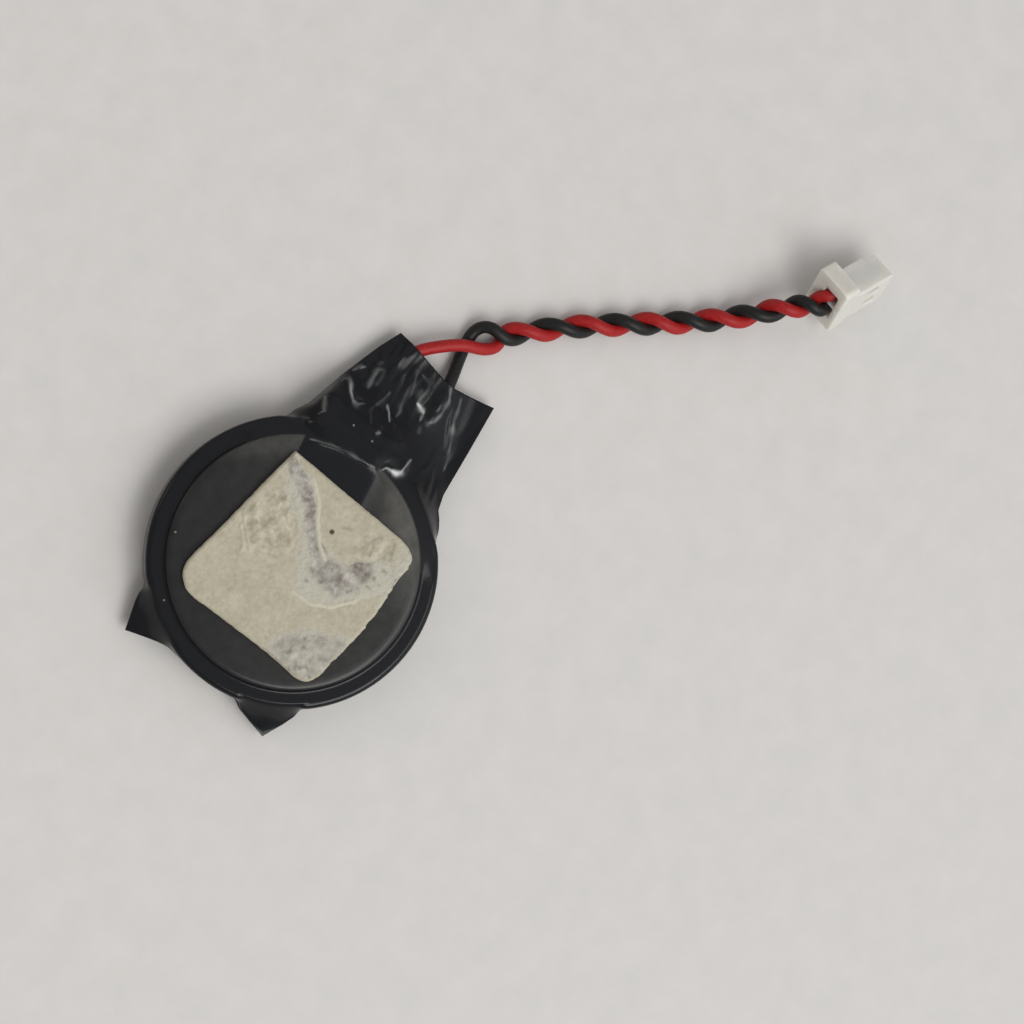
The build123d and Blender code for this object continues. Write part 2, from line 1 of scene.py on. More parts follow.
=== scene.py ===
# %% [markdown]
# # A wired coin cell in heat-shrink film
# This small backup battery is a flat steel coin cell with two welded tabs. A sleeve of black film is
# shrunk over the cell and its solder joints, a cream foam pad is stuck on its face, and a red and a black
# wire leave as a short twisted pair that ends in a little white plug. The CAD model carries the sizes;
# here it gets its looks. All sizes are in millimetres until they reach Blender, which counts in metres.

# %% Load the frame
import math

import bpy
import numpy as np
from mathutils import Matrix, Vector, noise
from mathutils.bvhtree import BVHTree


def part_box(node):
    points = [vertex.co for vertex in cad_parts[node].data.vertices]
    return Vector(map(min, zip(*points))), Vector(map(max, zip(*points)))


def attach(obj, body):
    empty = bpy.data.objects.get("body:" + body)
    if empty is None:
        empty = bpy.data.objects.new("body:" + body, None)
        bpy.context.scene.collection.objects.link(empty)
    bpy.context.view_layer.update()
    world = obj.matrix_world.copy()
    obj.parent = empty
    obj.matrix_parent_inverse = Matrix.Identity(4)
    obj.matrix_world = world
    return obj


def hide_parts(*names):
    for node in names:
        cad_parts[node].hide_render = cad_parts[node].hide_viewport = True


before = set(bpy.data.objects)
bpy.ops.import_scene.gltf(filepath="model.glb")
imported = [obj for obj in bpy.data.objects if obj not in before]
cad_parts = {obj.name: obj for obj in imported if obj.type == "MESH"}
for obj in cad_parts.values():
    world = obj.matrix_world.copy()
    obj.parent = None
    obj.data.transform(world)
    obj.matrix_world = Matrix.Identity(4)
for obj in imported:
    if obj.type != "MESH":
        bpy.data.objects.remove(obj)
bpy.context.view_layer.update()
MM = 0.001

# %% [markdown]
# ## Where the viewer stands
# The battery lies on a table and is looked at from almost straight above, about twenty centimetres away.
# The camera gets a place, a point to look at and a direction that is up in the picture, which fixes its
# turn about its own axis.

# %% Camera
camera_place = Vector((-19.49, 18.89, 200.0)) * MM
camera_aim = Vector((12.80, -10.56, 0.0)) * MM
picture_up = Vector((0.793, 0.609, 0.0))
lens_mm = 100.42

camera_data = bpy.data.cameras.new("viewpoint")
camera_data.sensor_width = 36.0
camera_data.lens = lens_mm
camera_data.clip_start = 0.01
camera_data.clip_end = 10.0
camera = bpy.data.objects.new("viewpoint", camera_data)
bpy.context.scene.collection.objects.link(camera)
forward = (camera_aim - camera_place).normalized()
rightward = forward.cross(picture_up).normalized()
upward = rightward.cross(forward)
camera.matrix_world = Matrix.Translation(camera_place) @ Matrix(
    (rightward, upward, -forward)
).transposed().to_4x4()
bpy.context.scene.camera = camera
print("camera distance in mm:", round((camera_aim - camera_place).length / MM))

# %% [markdown]
# ## Small helpers for node materials
# Every finish here is a Principled BSDF fed by a few procedural masks. One rule keeps the code short: an
# input is fed either with a value or with another node's output.

# %% Node helpers
def feed(tree, socket, value):
    """Give an input a value, or link it to another node's output."""
    if isinstance(value, bpy.types.NodeSocket):
        tree.links.new(value, socket)
    else:
        socket.default_value = value


def place(tree, kind, settings=None, **values):
    """Add a node, set its properties and feed its named inputs."""
    node = tree.nodes.new(kind)
    for key, value in (settings or {}).items():
        setattr(node, key, value)
    for key, value in values.items():
        feed(tree, node.inputs[key.replace("_", " ")], value)
    return node


def computed(tree, operation, *values):
    """The result of a Math node over numbers or other nodes' outputs."""
    node = place(tree, "ShaderNodeMath", {"operation": operation})
    for socket, value in zip(node.inputs, values):
        feed(tree, socket, value)
    return node.outputs[0]


def mixed(tree, mask, low, high):
    """The colour a mask picks between two others."""
    mix = place(tree, "ShaderNodeMix", {"data_type": "RGBA"}, Factor=mask, A=low, B=high)
    return mix.outputs["Result"]


def linear(red, green, blue):
    """Linear colour for an sRGB colour given in 0..255."""
    def channel(c):
        c = c / 255
        return c / 12.92 if c <= 0.04045 else ((c + 0.055) / 1.055) ** 2.4
    return (channel(red), channel(green), channel(blue), 1.0)


def new_finish(name, roughness=0.5, metallic=0.0, ior=1.5):
    """A material with its Principled BSDF, ready for links."""
    material = bpy.data.materials.new(name)
    material.use_nodes = True
    tree = material.node_tree
    shader = tree.nodes["Principled BSDF"]
    shader.inputs["Roughness"].default_value = roughness
    shader.inputs["Metallic"].default_value = metallic
    shader.inputs["IOR"].default_value = ior
    return material, tree, shader


def roughness_range(tree, mask, shader, low, high):
    """Let a mask move the roughness between two values."""
    spread = place(tree, "ShaderNodeMapRange", Value=mask, To_Min=low, To_Max=high)
    tree.links.new(spread.outputs["Result"], shader.inputs["Roughness"])


def add_bump(tree, height, shader, distance_mm):
    """Feed a height into the shader's normal."""
    bump = place(tree, "ShaderNodeBump", Strength=1.0, Distance=distance_mm * MM, Height=height)
    tree.links.new(bump.outputs["Normal"], shader.inputs["Normal"])


def stored_mask(tree, name):
    """Read a mask that is stored on the mesh's points."""
    return place(tree, "ShaderNodeAttribute", {"attribute_name": name}).outputs["Fac"]


def store_mask(piece, name, values):
    """Store one value per point of a piece, for its material to read."""
    mask = piece.data.attributes.new(name, "FLOAT", "POINT")
    mask.data.foreach_set("value", values.astype(np.float32))


# %% [markdown]
# ## Shared surface effects
# Fine grain breaks up every moulded or drawn surface, and a little dust settles on anything that is
# handled. Both are node groups: built once, then placed in each material with its own values. They come
# from noise in the object's own space, so they stay put from every side.

# %% Grain and dust groups
def new_group(name, given, results):
    """A node group with float inputs at their usual values, and float outputs."""
    group = bpy.data.node_groups.new(name, "ShaderNodeTree")
    for socket, value in given.items():
        made = group.interface.new_socket(socket, in_out="INPUT", socket_type="NodeSocketFloat")
        made.default_value = value
    for socket in results:
        group.interface.new_socket(socket, in_out="OUTPUT", socket_type="NodeSocketFloat")
    given_node, result_node = group.nodes.new("NodeGroupInput"), group.nodes.new("NodeGroupOutput")
    return group, given_node.outputs, result_node.inputs


def build_grain():
    """Noise for a surface's fine unevenness: a height for Bump and a centred tone for colour."""
    group, given, result = new_group("fine_grain", {"Size mm": 0.3, "Detail": 4.0}, ["Height", "Tone"])
    where = place(group, "ShaderNodeTexCoord").outputs["Object"]
    cloudy = place(group, "ShaderNodeTexNoise", Roughness=0.6, Detail=given["Detail"], Vector=where,
                   Scale=computed(group, "DIVIDE", 1 / MM, given["Size mm"]))
    centred = place(group, "ShaderNodeMapRange", {"clamp": True}, From_Min=0.3, From_Max=0.7,
                    Value=cloudy.outputs["Fac"])
    group.links.new(cloudy.outputs["Fac"], result["Height"])
    group.links.new(centred.outputs["Result"], result["Tone"])
    return group


def build_dust():
    """A mask of sparse round specks, one at most in each cell."""
    group, given, result = new_group("dust_specks", {"Spacing mm": 1.5, "Speck": 0.05}, ["Mask"])
    where = place(group, "ShaderNodeTexCoord").outputs["Object"]
    cells = place(group, "ShaderNodeTexVoronoi", Randomness=1.0, Vector=where,
                  Scale=computed(group, "DIVIDE", 1 / MM, given["Spacing mm"]))
    near = computed(group, "LESS_THAN", cells.outputs["Distance"], given["Speck"])
    group.links.new(near, result["Mask"])
    return group


def place_group(tree, group, **values):
    """Put a shared effect into a material with its own values."""
    return place(tree, "ShaderNodeGroup", {"node_tree": group}, **values).outputs


grain_group, dust_group = build_grain(), build_dust()
for group in (grain_group, dust_group):
    print("group", group.name, "sockets:", [socket.name for socket in group.interface.items_tree])

# %% [markdown]
# ## Finishes from grain alone
# Wires, metal, nylon and card differ in colour, gloss and grain size, so one function makes them all.
# Each runs between a darker and a paler tone, and its roughness runs with them.

# %% Grained finishes
def grained_finish(name, dark, pale, rough, size_mm, bump_mm=0.0, metallic=0.0):
    """A finish whose colour and roughness follow the fine grain."""
    material, tree, shader = new_finish(name, metallic=metallic)
    grain = place_group(tree, grain_group, Size_mm=size_mm)
    tree.links.new(mixed(tree, grain["Tone"], linear(*dark), linear(*pale)), shader.inputs["Base Color"])
    roughness_range(tree, grain["Tone"], shader, *rough)
    if bump_mm:
        add_bump(tree, grain["Height"], shader, bump_mm)
    return material


grained = {
    # darker and paler tone, range of roughness, grain in mm, its bump in mm, 1 for metal
    "red_pvc": ((150, 18, 20), (170, 34, 34), (0.42, 0.55), 0.25, 0.01, 0),
    "black_pvc": ((17, 17, 17), (30, 30, 29), (0.38, 0.5), 0.25, 0.01, 0),
    "nickel_plate": ((176, 174, 168), (196, 194, 189), (0.22, 0.34), 0.4, 0, 1),
    "tinned_copper": ((190, 187, 180), (208, 205, 198), (0.2, 0.3), 0.1, 0, 1),
    "bright_solder": ((178, 179, 182), (205, 205, 208), (0.16, 0.3), 0.5, 0, 1),
    "tin_plate": ((188, 186, 178), (206, 203, 196), (0.25, 0.38), 0.2, 0, 1),
    "lithium_metal": ((150, 148, 144), (176, 174, 170), (0.5, 0.65), 0.8, 0, 1),
    "gasket_nylon": ((206, 203, 192), (218, 216, 206), (0.45, 0.6), 0.5, 0, 0),
    "separator_card": ((216, 213, 203), (230, 228, 220), (0.85, 0.95), 0.1, 0.02, 0),
    "cathode_powder": ((26, 26, 27), (44, 43, 42), (0.85, 0.95), 0.12, 0.03, 0),
    "amber_tape": ((176, 112, 30), (196, 134, 48), (0.25, 0.35), 0.6, 0, 0),
    "natural_nylon": ((209, 206, 198), (216, 214, 207), (0.38, 0.5), 0.8, 0.01, 0),
    "table_paint": ((209, 207, 203), (215, 212, 209), (0.6, 0.7), 2.5, 0.004, 0),
}
finishes = {name: grained_finish(name, *values) for name, values in grained.items()}
for name in ("red_pvc", "black_pvc"):
    shader = finishes[name].node_tree.nodes["Principled BSDF"]
    shader.inputs["Specular IOR Level"].default_value = 0.3
print("grained finishes:", len(finishes))

# %% [markdown]
# ## Nylon
# The plug is moulded in natural nylon. It is not quite opaque: light enters and comes out a little
# further on, which softens every edge. Subsurface scattering with a short radius gives that.

# %% Natural nylon
nylon = finishes["natural_nylon"].node_tree.nodes["Principled BSDF"].inputs
nylon["Subsurface Weight"].default_value = 0.85
nylon["Subsurface Radius"].default_value = (1.0, 0.9, 0.75)
nylon["Subsurface Scale"].default_value = 1.2 * MM
print("light goes into the nylon:", round(nylon["Subsurface Scale"].default_value / MM, 1), "mm")

# %% [markdown]
# ## The lead: centre lines first
# The lead is modelled as two real wires. Each follows a centre line: a tail that comes out from under the
# film, a stretch wound round the pair's common line, and a short end that goes into the plug. The common
# line is a NURBS curve through a few chosen points; the wires' lines are worked out from it.

# %% Routes of the lead
wire_radius = 0.45
half_spread = 0.46  # from the pair's common line to each wire's own
line_step = 0.1
pair_route = [
    (22.1, -2.1, 0.92),
    (25.0, -4.75, 0.92),
    (28.4, -8.6, 0.93),
    (31.3, -12.05, 0.96),
    (33.9, -14.75, 1.2),
    (35.5, -16.2, 1.95),
    (36.7, -17.2, 2.65),
]
red_bends = [
    # the tail of each wire, from its bared end under the film on
    (15.2, 2.95, 1.3), (17.3, 2.15, 1.38), (18.7, 0.9, 1.46), (19.85, -0.3, 1.52), (20.55, -1.85, 0.95),
    (21.6, -2.6, 0.42),
]
black_bends = [
    (15.1, -1.55, 1.3), (16.9, -1.35, 1.18), (18.6, -0.9, 0.55), (20.1, -0.5, 0.42), (21.45, -0.3, 0.75),
    (22.25, -1.1, 1.35),
]
tail_run = 0.55  # how far before the first turn a tail is already heading along it
twist_start = math.radians(118)
helix_from = 7  # steps of the common line that the tails replace

plug_origin = Vector((39.14, -17.67, 2.575))
plug_turn = (
    Matrix.Rotation(math.radians(-23.7), 3, "Z")
    @ Matrix.Rotation(math.radians(17.5), 3, "Y")
    @ Matrix.Rotation(math.radians(67.5), 3, "X")
)
contact_pitch = 1.25
contact_level = 1.725


def in_plug(along, across, up):
    """A place given in the plug's own axes, in mm."""
    return plug_origin + plug_turn @ Vector((along, across, up))


def curve_points(name, points, resolution=24):
    """Points along an order-3 NURBS line through the route, read back from Blender's own curve."""
    data = bpy.data.curves.new(name, "CURVE")
    data.dimensions = "3D"
    data.resolution_u = resolution
    line = data.splines.new("NURBS")
    line.points.add(len(points) - 1)
    for point, place_mm in zip(line.points, points):
        point.co = (*(Vector(place_mm) * MM), 1.0)
    line.order_u = 3
    line.use_endpoint_u = True
    holder = bpy.data.objects.new(name, data)
    bpy.context.scene.collection.objects.link(holder)
    mesh = bpy.data.meshes.new_from_object(holder)
    found = np.array([v.co[:] for v in mesh.vertices]) / MM
    bpy.data.objects.remove(holder)
    bpy.data.meshes.remove(mesh)
    bpy.data.curves.remove(data)
    return found


def even_steps(points, step):
    """The same line with its points spaced evenly."""
    lengths = np.r_[0, np.cumsum(np.linalg.norm(np.diff(points, axis=0), axis=1))]
    count = max(2, int(round(lengths[-1] / step)) + 1)
    wanted = np.linspace(0, lengths[-1], count)
    return np.stack([np.interp(wanted, lengths, points[:, i]) for i in range(3)], axis=1)


plug_entry = np.array(in_plug(-0.2, 0, contact_level))
pair_line = even_steps(curve_points("pair_centre", pair_route + [tuple(plug_entry)]), line_step)
pair_length = line_step * (len(pair_line) - 1)
print("pair centre line:", round(pair_length, 2), "mm")

# %% [markdown]
# ## Winding two wires round one line
# In a twisted pair each wire is a helix: at every step along the common line it sits half a wire to one
# side, and that side turns steadily. The turn is right-handed. Where this pair was wound looser, its
# turns lag behind an even helix. Reference directions come from the world's vertical, which works
# because the pair never stands upright.

# %% Turn angles along the pair
twist_pitch = 4.4
turn_lag = [
    # distance along the pair, how far its turns lag behind there
    (0, 0.0), (1.8, 0.19), (5.9, 0.6), (10.2, 1.0), (14.5, 1.2), (18.8, 1.35), (21.6, 1.2), (24.2, 0.3),
]


def directions(line):
    """Upward and sideways unit vectors at each point of a line."""
    tangent = np.gradient(line, axis=0)
    tangent /= np.linalg.norm(tangent, axis=1)[:, None]
    up = np.array([0, 0, 1.0]) - tangent * tangent[:, 2:3]
    up /= np.linalg.norm(up, axis=1)[:, None]
    return up, np.cross(tangent, up)


up, side = directions(pair_line)
travelled = np.linspace(0, pair_length, len(pair_line))
start_angle = twist_start - math.pi / 2
plug_left = np.array(plug_turn @ Vector((0, 1, 0)))
end_angle = math.atan2(-plug_left @ side[-1], -plug_left @ up[-1])
plain_end = start_angle + 2 * math.pi * pair_length / twist_pitch
end_angle += 2 * math.pi * round((plain_end - end_angle) / (2 * math.pi))
lag = np.interp(travelled, *np.transpose(turn_lag))
angle = start_angle + (end_angle - start_angle) * (travelled - lag) / pair_length
turns = (end_angle - start_angle) / (2 * math.pi)
print("turns:", round(turns, 2), "pitch:", round(pair_length / turns, 2), "mm")


# %% Wire lines
run_into_plug = (0.3, 0.8, 1.3)  # straight places inside the plug
corner_rounds = 24
wire_step = 0.12


def ease(value, low, high):
    """Smooth step from 0 to 1 between two values."""
    t = np.clip((value - low) / (high - low), 0, 1)
    return t * t * (3 - 2 * t)


def smooth_line(points, rounds):
    """Ease the small corners where two stretches meet, with the ends held."""
    points = points.copy()
    for _ in range(rounds):
        points[1:-1] = 0.5 * points[1:-1] + 0.25 * (points[:-2] + points[2:])
    return points


def wire_line(tail_points, turn, across):
    """One wire from under the film to its contact: tail, helix and the straight run into the plug."""
    opening = ease(travelled, pair_length - 1.2, pair_length)
    spread = half_spread + (contact_pitch / 2 - half_spread) * opening
    to_wire = np.cos(angle + turn)[:, None] * up + np.sin(angle + turn)[:, None] * side
    helix = (pair_line + spread[:, None] * to_wire)[helix_from:]
    winding = (helix[1] - helix[0]) / np.linalg.norm(helix[1] - helix[0])
    knee = helix[0] - winding * tail_run
    route = tail_points + [tuple(knee), tuple(helix[0])]
    tail = even_steps(curve_points("tail", route), line_step)
    run_in = np.array([in_plug(along, across, contact_level) for along in run_into_plug])
    whole = np.vstack([tail[:-1], helix[:-3], run_in])
    return even_steps(smooth_line(even_steps(whole, line_step), corner_rounds), wire_step)


def line_length(line):
    """Length along a line of points, in mm."""
    return float(np.linalg.norm(np.diff(line, axis=0), axis=1).sum())


black_line = wire_line(black_bends, 0.0, -contact_pitch / 2)
red_line = wire_line(red_bends, math.pi, contact_pitch / 2)
for name, line in (("black", black_line), ("red", red_line)):
    print(name, "wire:", round(line_length(line), 1), "mm")

# %% [markdown]
# ## From line to wire
# A wire is a ring of points carried along its line. The ring's directions are carried on from step to
# step, so the tube doesn't twist. A flat fan of triangles closes each end, as on a cut wire. The same
# function that joins the wire's rings later joins those of the film and of the pad.

# %% Pieces from rings
def show(name, mesh, material, smooth=True):
    """Give a mesh its material and link it into the scene as a piece."""
    mesh.materials.clear()
    mesh.materials.append(material)
    if smooth:
        mesh.polygons.foreach_set("use_smooth", [True] * len(mesh.polygons))
    piece = bpy.data.objects.new(name, mesh)
    bpy.context.scene.collection.objects.link(piece)
    return piece


def add_piece(name, vertices, faces, material, smooth=True):
    """Make a piece from points in mm."""
    mesh = bpy.data.meshes.new(name)
    mesh.from_pydata((np.asarray(vertices) * MM).tolist(), [], faces)
    mesh.validate()
    return show(name, mesh, material, smooth)


def wrap_rings(rings, first_middle, last_middle):
    """Close a stack of rings of equal length into one skin, with a fan of triangles at both ends."""
    count = len(rings[0])
    vertices = np.vstack([*rings, [first_middle], [last_middle]])
    faces = []
    for ring in range(len(rings) - 1):
        for k in range(count):
            a, b = ring * count + k, ring * count + (k + 1) % count
            faces.append((a, a + count, b + count, b))
    last = (len(rings) - 1) * count
    for k in range(count):
        faces.append((k, (k + 1) % count, len(vertices) - 2))
        faces.append((last + (k + 1) % count, last + k, len(vertices) - 1))
    return vertices, faces


def add_tube(name, line, radius, material, around=20):
    """A round tube along a line, with closed ends."""
    along = np.gradient(line, axis=0)
    along /= np.linalg.norm(along, axis=1)[:, None]
    across = np.cross(along[0], (0.3, 0.2, 0.9))
    turns = np.linspace(0, 2 * math.pi, around, endpoint=False)[:, None]
    rings = []
    for centre, heading in zip(line, along):
        across = across - heading * (across @ heading)
        across /= np.linalg.norm(across)
        other = np.cross(heading, across)
        rings.append(centre + radius * (np.cos(turns) * across + np.sin(turns) * other))
    vertices, faces = wrap_rings(rings, line[0], line[-1])
    outside_out = [(face[0], *face[:0:-1]) for face in faces]  # these rings turn the other way
    return add_piece(name, vertices, outside_out, material)


red_wire = add_tube("red_wire", red_line, wire_radius, finishes["red_pvc"])
black_wire = add_tube("black_wire", black_line, wire_radius, finishes["black_pvc"])
print("wire faces:", len(red_wire.data.polygons), len(black_wire.data.polygons))

# %% [markdown]
# ## The plug's softened body
# A moulded nylon plug has no truly sharp edge, and this one has been handled. Its solid comes from the
# CAD with crisp edges. Rebuilding it from tiny equal cells and relaxing them a few times rounds every
# edge by a tenth of a millimetre, inside corners too, which a bevel would not do as evenly.

# %% Plug body
def softened(source, name, cell_mm, rounds, material):
    """A copy of a CAD piece with every edge slightly rounded."""
    draft = bpy.data.objects.new(name + "_draft", source.data.copy())
    draft.matrix_world = source.matrix_world
    bpy.context.scene.collection.objects.link(draft)
    cells = draft.modifiers.new("cells", "REMESH")
    cells.mode = "VOXEL"
    cells.voxel_size = cell_mm * MM
    relax = draft.modifiers.new("relax", "SMOOTH")
    relax.factor = 0.5
    relax.iterations = rounds
    seen = draft.evaluated_get(bpy.context.evaluated_depsgraph_get())
    mesh = bpy.data.meshes.new_from_object(seen)
    mesh.name = name
    mesh.transform(draft.matrix_world)
    bpy.data.objects.remove(draft)
    return show(name, mesh, material)


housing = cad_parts["connector_housing"]
plug_body = softened(housing, "plug_body", cell_mm=0.06, rounds=7, material=finishes["natural_nylon"])
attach(plug_body, "root")
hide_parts("connector_housing")
print("plug faces:", len(plug_body.data.polygons))

for colour, wire, line, exit_mm in (
    ("red", red_wire, red_line, red_bends[1]),
    ("black", black_wire, black_line, black_bends[1]),
):
    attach(wire, "root")
    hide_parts(f"{colour}_lead_tail", f"{colour}_lead_end", "twisted_pair")
    print(colour, "cord leaves the film at", exit_mm)

# %% [markdown]
# ## The film's outline
# Heat-shrink film starts as a flat tube. Round the cell it has pulled tight, but at both open ends it
# had nothing to grip: on one side two ears stand off and the mouth between them stays open, on the
# other the tube is pressed flat into a flap over the soldered wires. Seen from above, its edge is the
# list of places below, and plain circle elsewhere. Each place also says how high the upper and the
# lower sheet end there.

# %% Outline of the film
film = 0.2
disc_radius = 10.25
cap_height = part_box("negative_cap")[1][2] / MM + film
rim_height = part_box("positive_can")[1][2] / MM + film
print("film over the cap:", round(cap_height, 2), "over the rim:", round(rim_height, 2), "mm")
edge_places = [
    # x, y, upper sheet's end, lower sheet's end, 1 where the end is open
    (-10.02, -0.3, 3.0, 0.35, 1),
    (-9.90, -1.85, 2.9, 0.4, 1),
    (-9.98, -2.7, 2.5, 0.6, 1),
    (-10.25, -3.54, 1.9, 1.0, 0.6),
    (-10.50, -4.6, 1.5, 1.1, 0),
    (-10.75, -5.87, 1.25, 0.9, 0),
    (-9.3, -6.45, 1.55, 1.15, 0),
    (-7.76, -6.94, 1.9, 1.6, 0),
    (-7.0, -7.48, 1.95, 1.85, 0),
    (6.4, -8.0, 1.95, 1.85, 0),
    (7.2, -7.55, 1.9, 1.6, 0),
    (8.0, -7.06, 1.8, 1.4, 0),
    (8.86, -6.5, 1.65, 1.25, 0),
    (9.37, -6.05, 1.55, 1.15, 0),
    (10.48, -5.71, 1.4, 1.0, 0),
    (14.23, -5.29, 1.2, 0.85, 0),
    (17.68, -4.85, 1.15, 0.8, 0),
    (16.92, -1.75, 1.2, 0.8, 1),
    (16.92, -0.7, 1.2, 0.8, 1),
    (17.4, 2.1, 1.2, 0.8, 1),
    (17.72, 3.7, 1.15, 0.8, 0),
    (16.01, 4.31, 1.2, 0.85, 0),
    (13.0, 5.13, 1.3, 0.95, 0),
    (9.78, 5.79, 1.5, 1.1, 0),
    (8.9, 6.2, 1.7, 1.4, 0),
    (8.1, 6.64, 1.85, 1.65, 0),
    (7.3, 7.2, 1.95, 1.85, 0),
    (-6.9, 7.6, 1.95, 1.85, 0),
    (-7.73, 7.15, 1.85, 1.55, 0),
    (-8.63, 6.93, 1.6, 1.2, 0),
    (-10.69, 6.20, 1.2, 0.85, 0),
    (-10.3, 5.0, 1.45, 1.05, 0),
    (-10.0, 4.0, 1.8, 1.0, 0.6),
    (-9.98, 2.9, 2.5, 0.6, 1),
    (-9.95, 1.8, 2.9, 0.4, 1),
    (-10.02, 0.3, 3.0, 0.35, 1),
]
corner_bearings = [math.degrees(math.atan2(y, x)) for x, y, *_ in edge_places]


def dense_edge(steps_between=60):
    """The edge as close-spaced rows of bearing, reach and the three values.

    It runs straight between places, but a stretch of over 5 mm that touches the disc follows the disc.
    """
    rows = []
    for here, there in zip(edge_places, edge_places[1:]):
        here, there = np.array(here), np.array(there)
        nearest = min(np.hypot(*here[:2]), np.hypot(*there[:2]))
        on_disc = nearest < disc_radius + 0.02 and abs(here[0] - there[0]) > 5
        for t in np.linspace(0, 1, steps_between, endpoint=False):
            row = here + (there - here) * t
            bearing = math.atan2(row[1], row[0])
            reach = disc_radius if on_disc else np.hypot(row[0], row[1])
            rows.append((bearing, reach, *row[2:]))
    rows = np.array(sorted(rows))
    whole_turn = [2 * math.pi, 0, 0, 0, 0]
    return np.vstack([rows[-1:] - whole_turn, rows, rows[:1] + whole_turn])


edge_rows = dense_edge()


def column_bearings():
    """Bearings of the mesh's columns: close where the film leaves the disc, wide elsewhere."""
    spans = [
        # from, to, step, all in degrees
        (-180, -135, 0.75), (-135, -42, 2.0), (-42, -14, 0.35), (-14, 12, 0.3), (12, 46, 0.35),
        (46, 132, 2.0), (132, 180, 0.75),
    ]
    plain = np.concatenate([np.arange(low, high, step) for low, high, step in spans])
    for corner in corner_bearings:
        plain[np.argmin(abs(plain - corner))] = corner
    return np.radians(plain)


bearings = column_bearings()
reach, upper_end, lower_end, openness = (
    np.interp(bearings, edge_rows[:, 0], edge_rows[:, i]) for i in (1, 2, 3, 4)
)
print("film columns:", len(bearings), "farthest reach:", round(float(reach.max()), 2), "mm")

# %% [markdown]
# ## What lies under the film
# The upper sheet rests on the highest thing below it: the cap with its stepped rim, the welded tab, the
# tongue that comes down over the rim, the solder and the wires. A probe lowered over a fine grid finds
# that height from the CAD parts themselves. The film has a thickness, so each height is then spread
# sideways as a ball of that radius would ride over it. The lower sheet is the same thing upside down.

# %% Height grids
grid_step = 0.1
grid_x = np.arange(-13.0, 20.0, grid_step)
grid_y = np.arange(-11.6, 11.6, grid_step)
GX, GY = np.meshgrid(grid_x, grid_y, indexing="ij")
radius_at = np.hypot(GX, GY)
NOTHING = -5.0  # the height where a probe meets nothing
wrapped_nodes = [
    "positive_can", "sealing_gasket", "negative_cap", "tab_insulation_tape", "negative_tab", "positive_tab",
    "red_solder_joint", "black_solder_joint", "red_bare_strands", "black_bare_strands",
]


def probe(objects, downwards=True):
    """Height where a vertical probe first meets any of the objects, for every grid place."""
    points, faces = [], []
    for thing in objects:
        first = len(points)
        points.extend(thing.matrix_world @ v.co for v in thing.data.vertices)
        faces.extend([first + i for i in face.vertices] for face in thing.data.polygons)
    tree = BVHTree.FromPolygons(points, faces)
    way = Vector((0, 0, -1 if downwards else 1))
    start = 30 * MM if downwards else -30 * MM
    found = np.full(GX.shape, NOTHING)
    for i, x in enumerate(grid_x):
        for j, y in enumerate(grid_y):
            met = tree.ray_cast(Vector((x * MM, y * MM, start)), way)[0]
            if met is not None:
                found[i, j] = met.z / MM if downwards else -met.z / MM
    return found


def thicken(height, thickness):
    """Height of a skin of some thickness laid over a surface."""
    steps = int(round(thickness / grid_step))
    result = np.full_like(height, NOTHING)
    for i in range(-steps, steps + 1):
        for j in range(-steps, steps + 1):
            off = (i * i + j * j) * grid_step**2
            if off <= thickness**2:
                moved = np.roll(np.roll(height, i, axis=0), j, axis=1)
                result = np.maximum(result, moved + math.sqrt(thickness**2 - off))
    return result


wrapped = [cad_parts[node] for node in wrapped_nodes] + [red_wire, black_wire]
upper_under = thicken(probe(wrapped), film)
lower_under = thicken(probe(wrapped, downwards=False), film)
print("height grid:", GX.shape, "highest", round(float(upper_under.max()), 2), "mm")

# %% [markdown]
# ## Shrinking the film on
# A shrunk film behaves like a stretched skin: between the things that hold it up it spans straight, and
# it can't go through them. Relaxing a grid of heights, where every point moves to the mean of its
# neighbours and then back out of whatever it would cut into, gives that shape. A slight pull inwards
# makes it cling. In two places the film stands straighter than that: from the cap down to the wires,
# and flat between the two wires. Both spans are held up like the parts are.

# %% Relax the sheets
over_relax = 1.8  # each step goes this many times the way to the mean, which settles the sheet sooner
upper_cling = 0.0005
cap_to_wires = [(8.4, 3.96), (9.5, 3.85), (11.0, 3.5), (12.0, 2.75), (12.9, 2.1), (13.6, 1.7)]  # x, height


def edge_value(values):
    """Carry a value given per bearing over the whole grid."""
    return np.interp(np.arctan2(GY, GX), edge_rows[:, 0], values)


grid_reach = edge_value(edge_rows[:, 1])
end_is_free = (GX > 15.5) & (GY > -4.8) & (GY < 3.7)  # the flap's open end isn't held
held = (radius_at > grid_reach - 0.05) & ~end_is_free


def shrink(under, rim_value, cling, rounds=700):
    """Heights of a stretched sheet over what lies under it, held at the film's edge."""
    height = np.where(held, rim_value, np.maximum(under, rim_value))
    even = (np.add.outer(np.arange(GX.shape[0]), np.arange(GX.shape[1])) % 2).astype(bool)
    for turn in range(rounds):
        now_moving = even if turn % 2 else ~even
        mean = np.empty_like(height)
        mean[1:-1, 1:-1] = (height[:-2, 1:-1] + height[2:, 1:-1] + height[1:-1, :-2] + height[1:-1, 2:]) / 4
        mean[0], mean[-1], mean[:, 0], mean[:, -1] = height[1], height[-2], height[:, 1], height[:, -2]
        moved = height + over_relax * (mean - cling - height)
        moved = np.where(held, rim_value, np.maximum(moved, under))
        height = np.where(now_moving, moved, height)
    return height


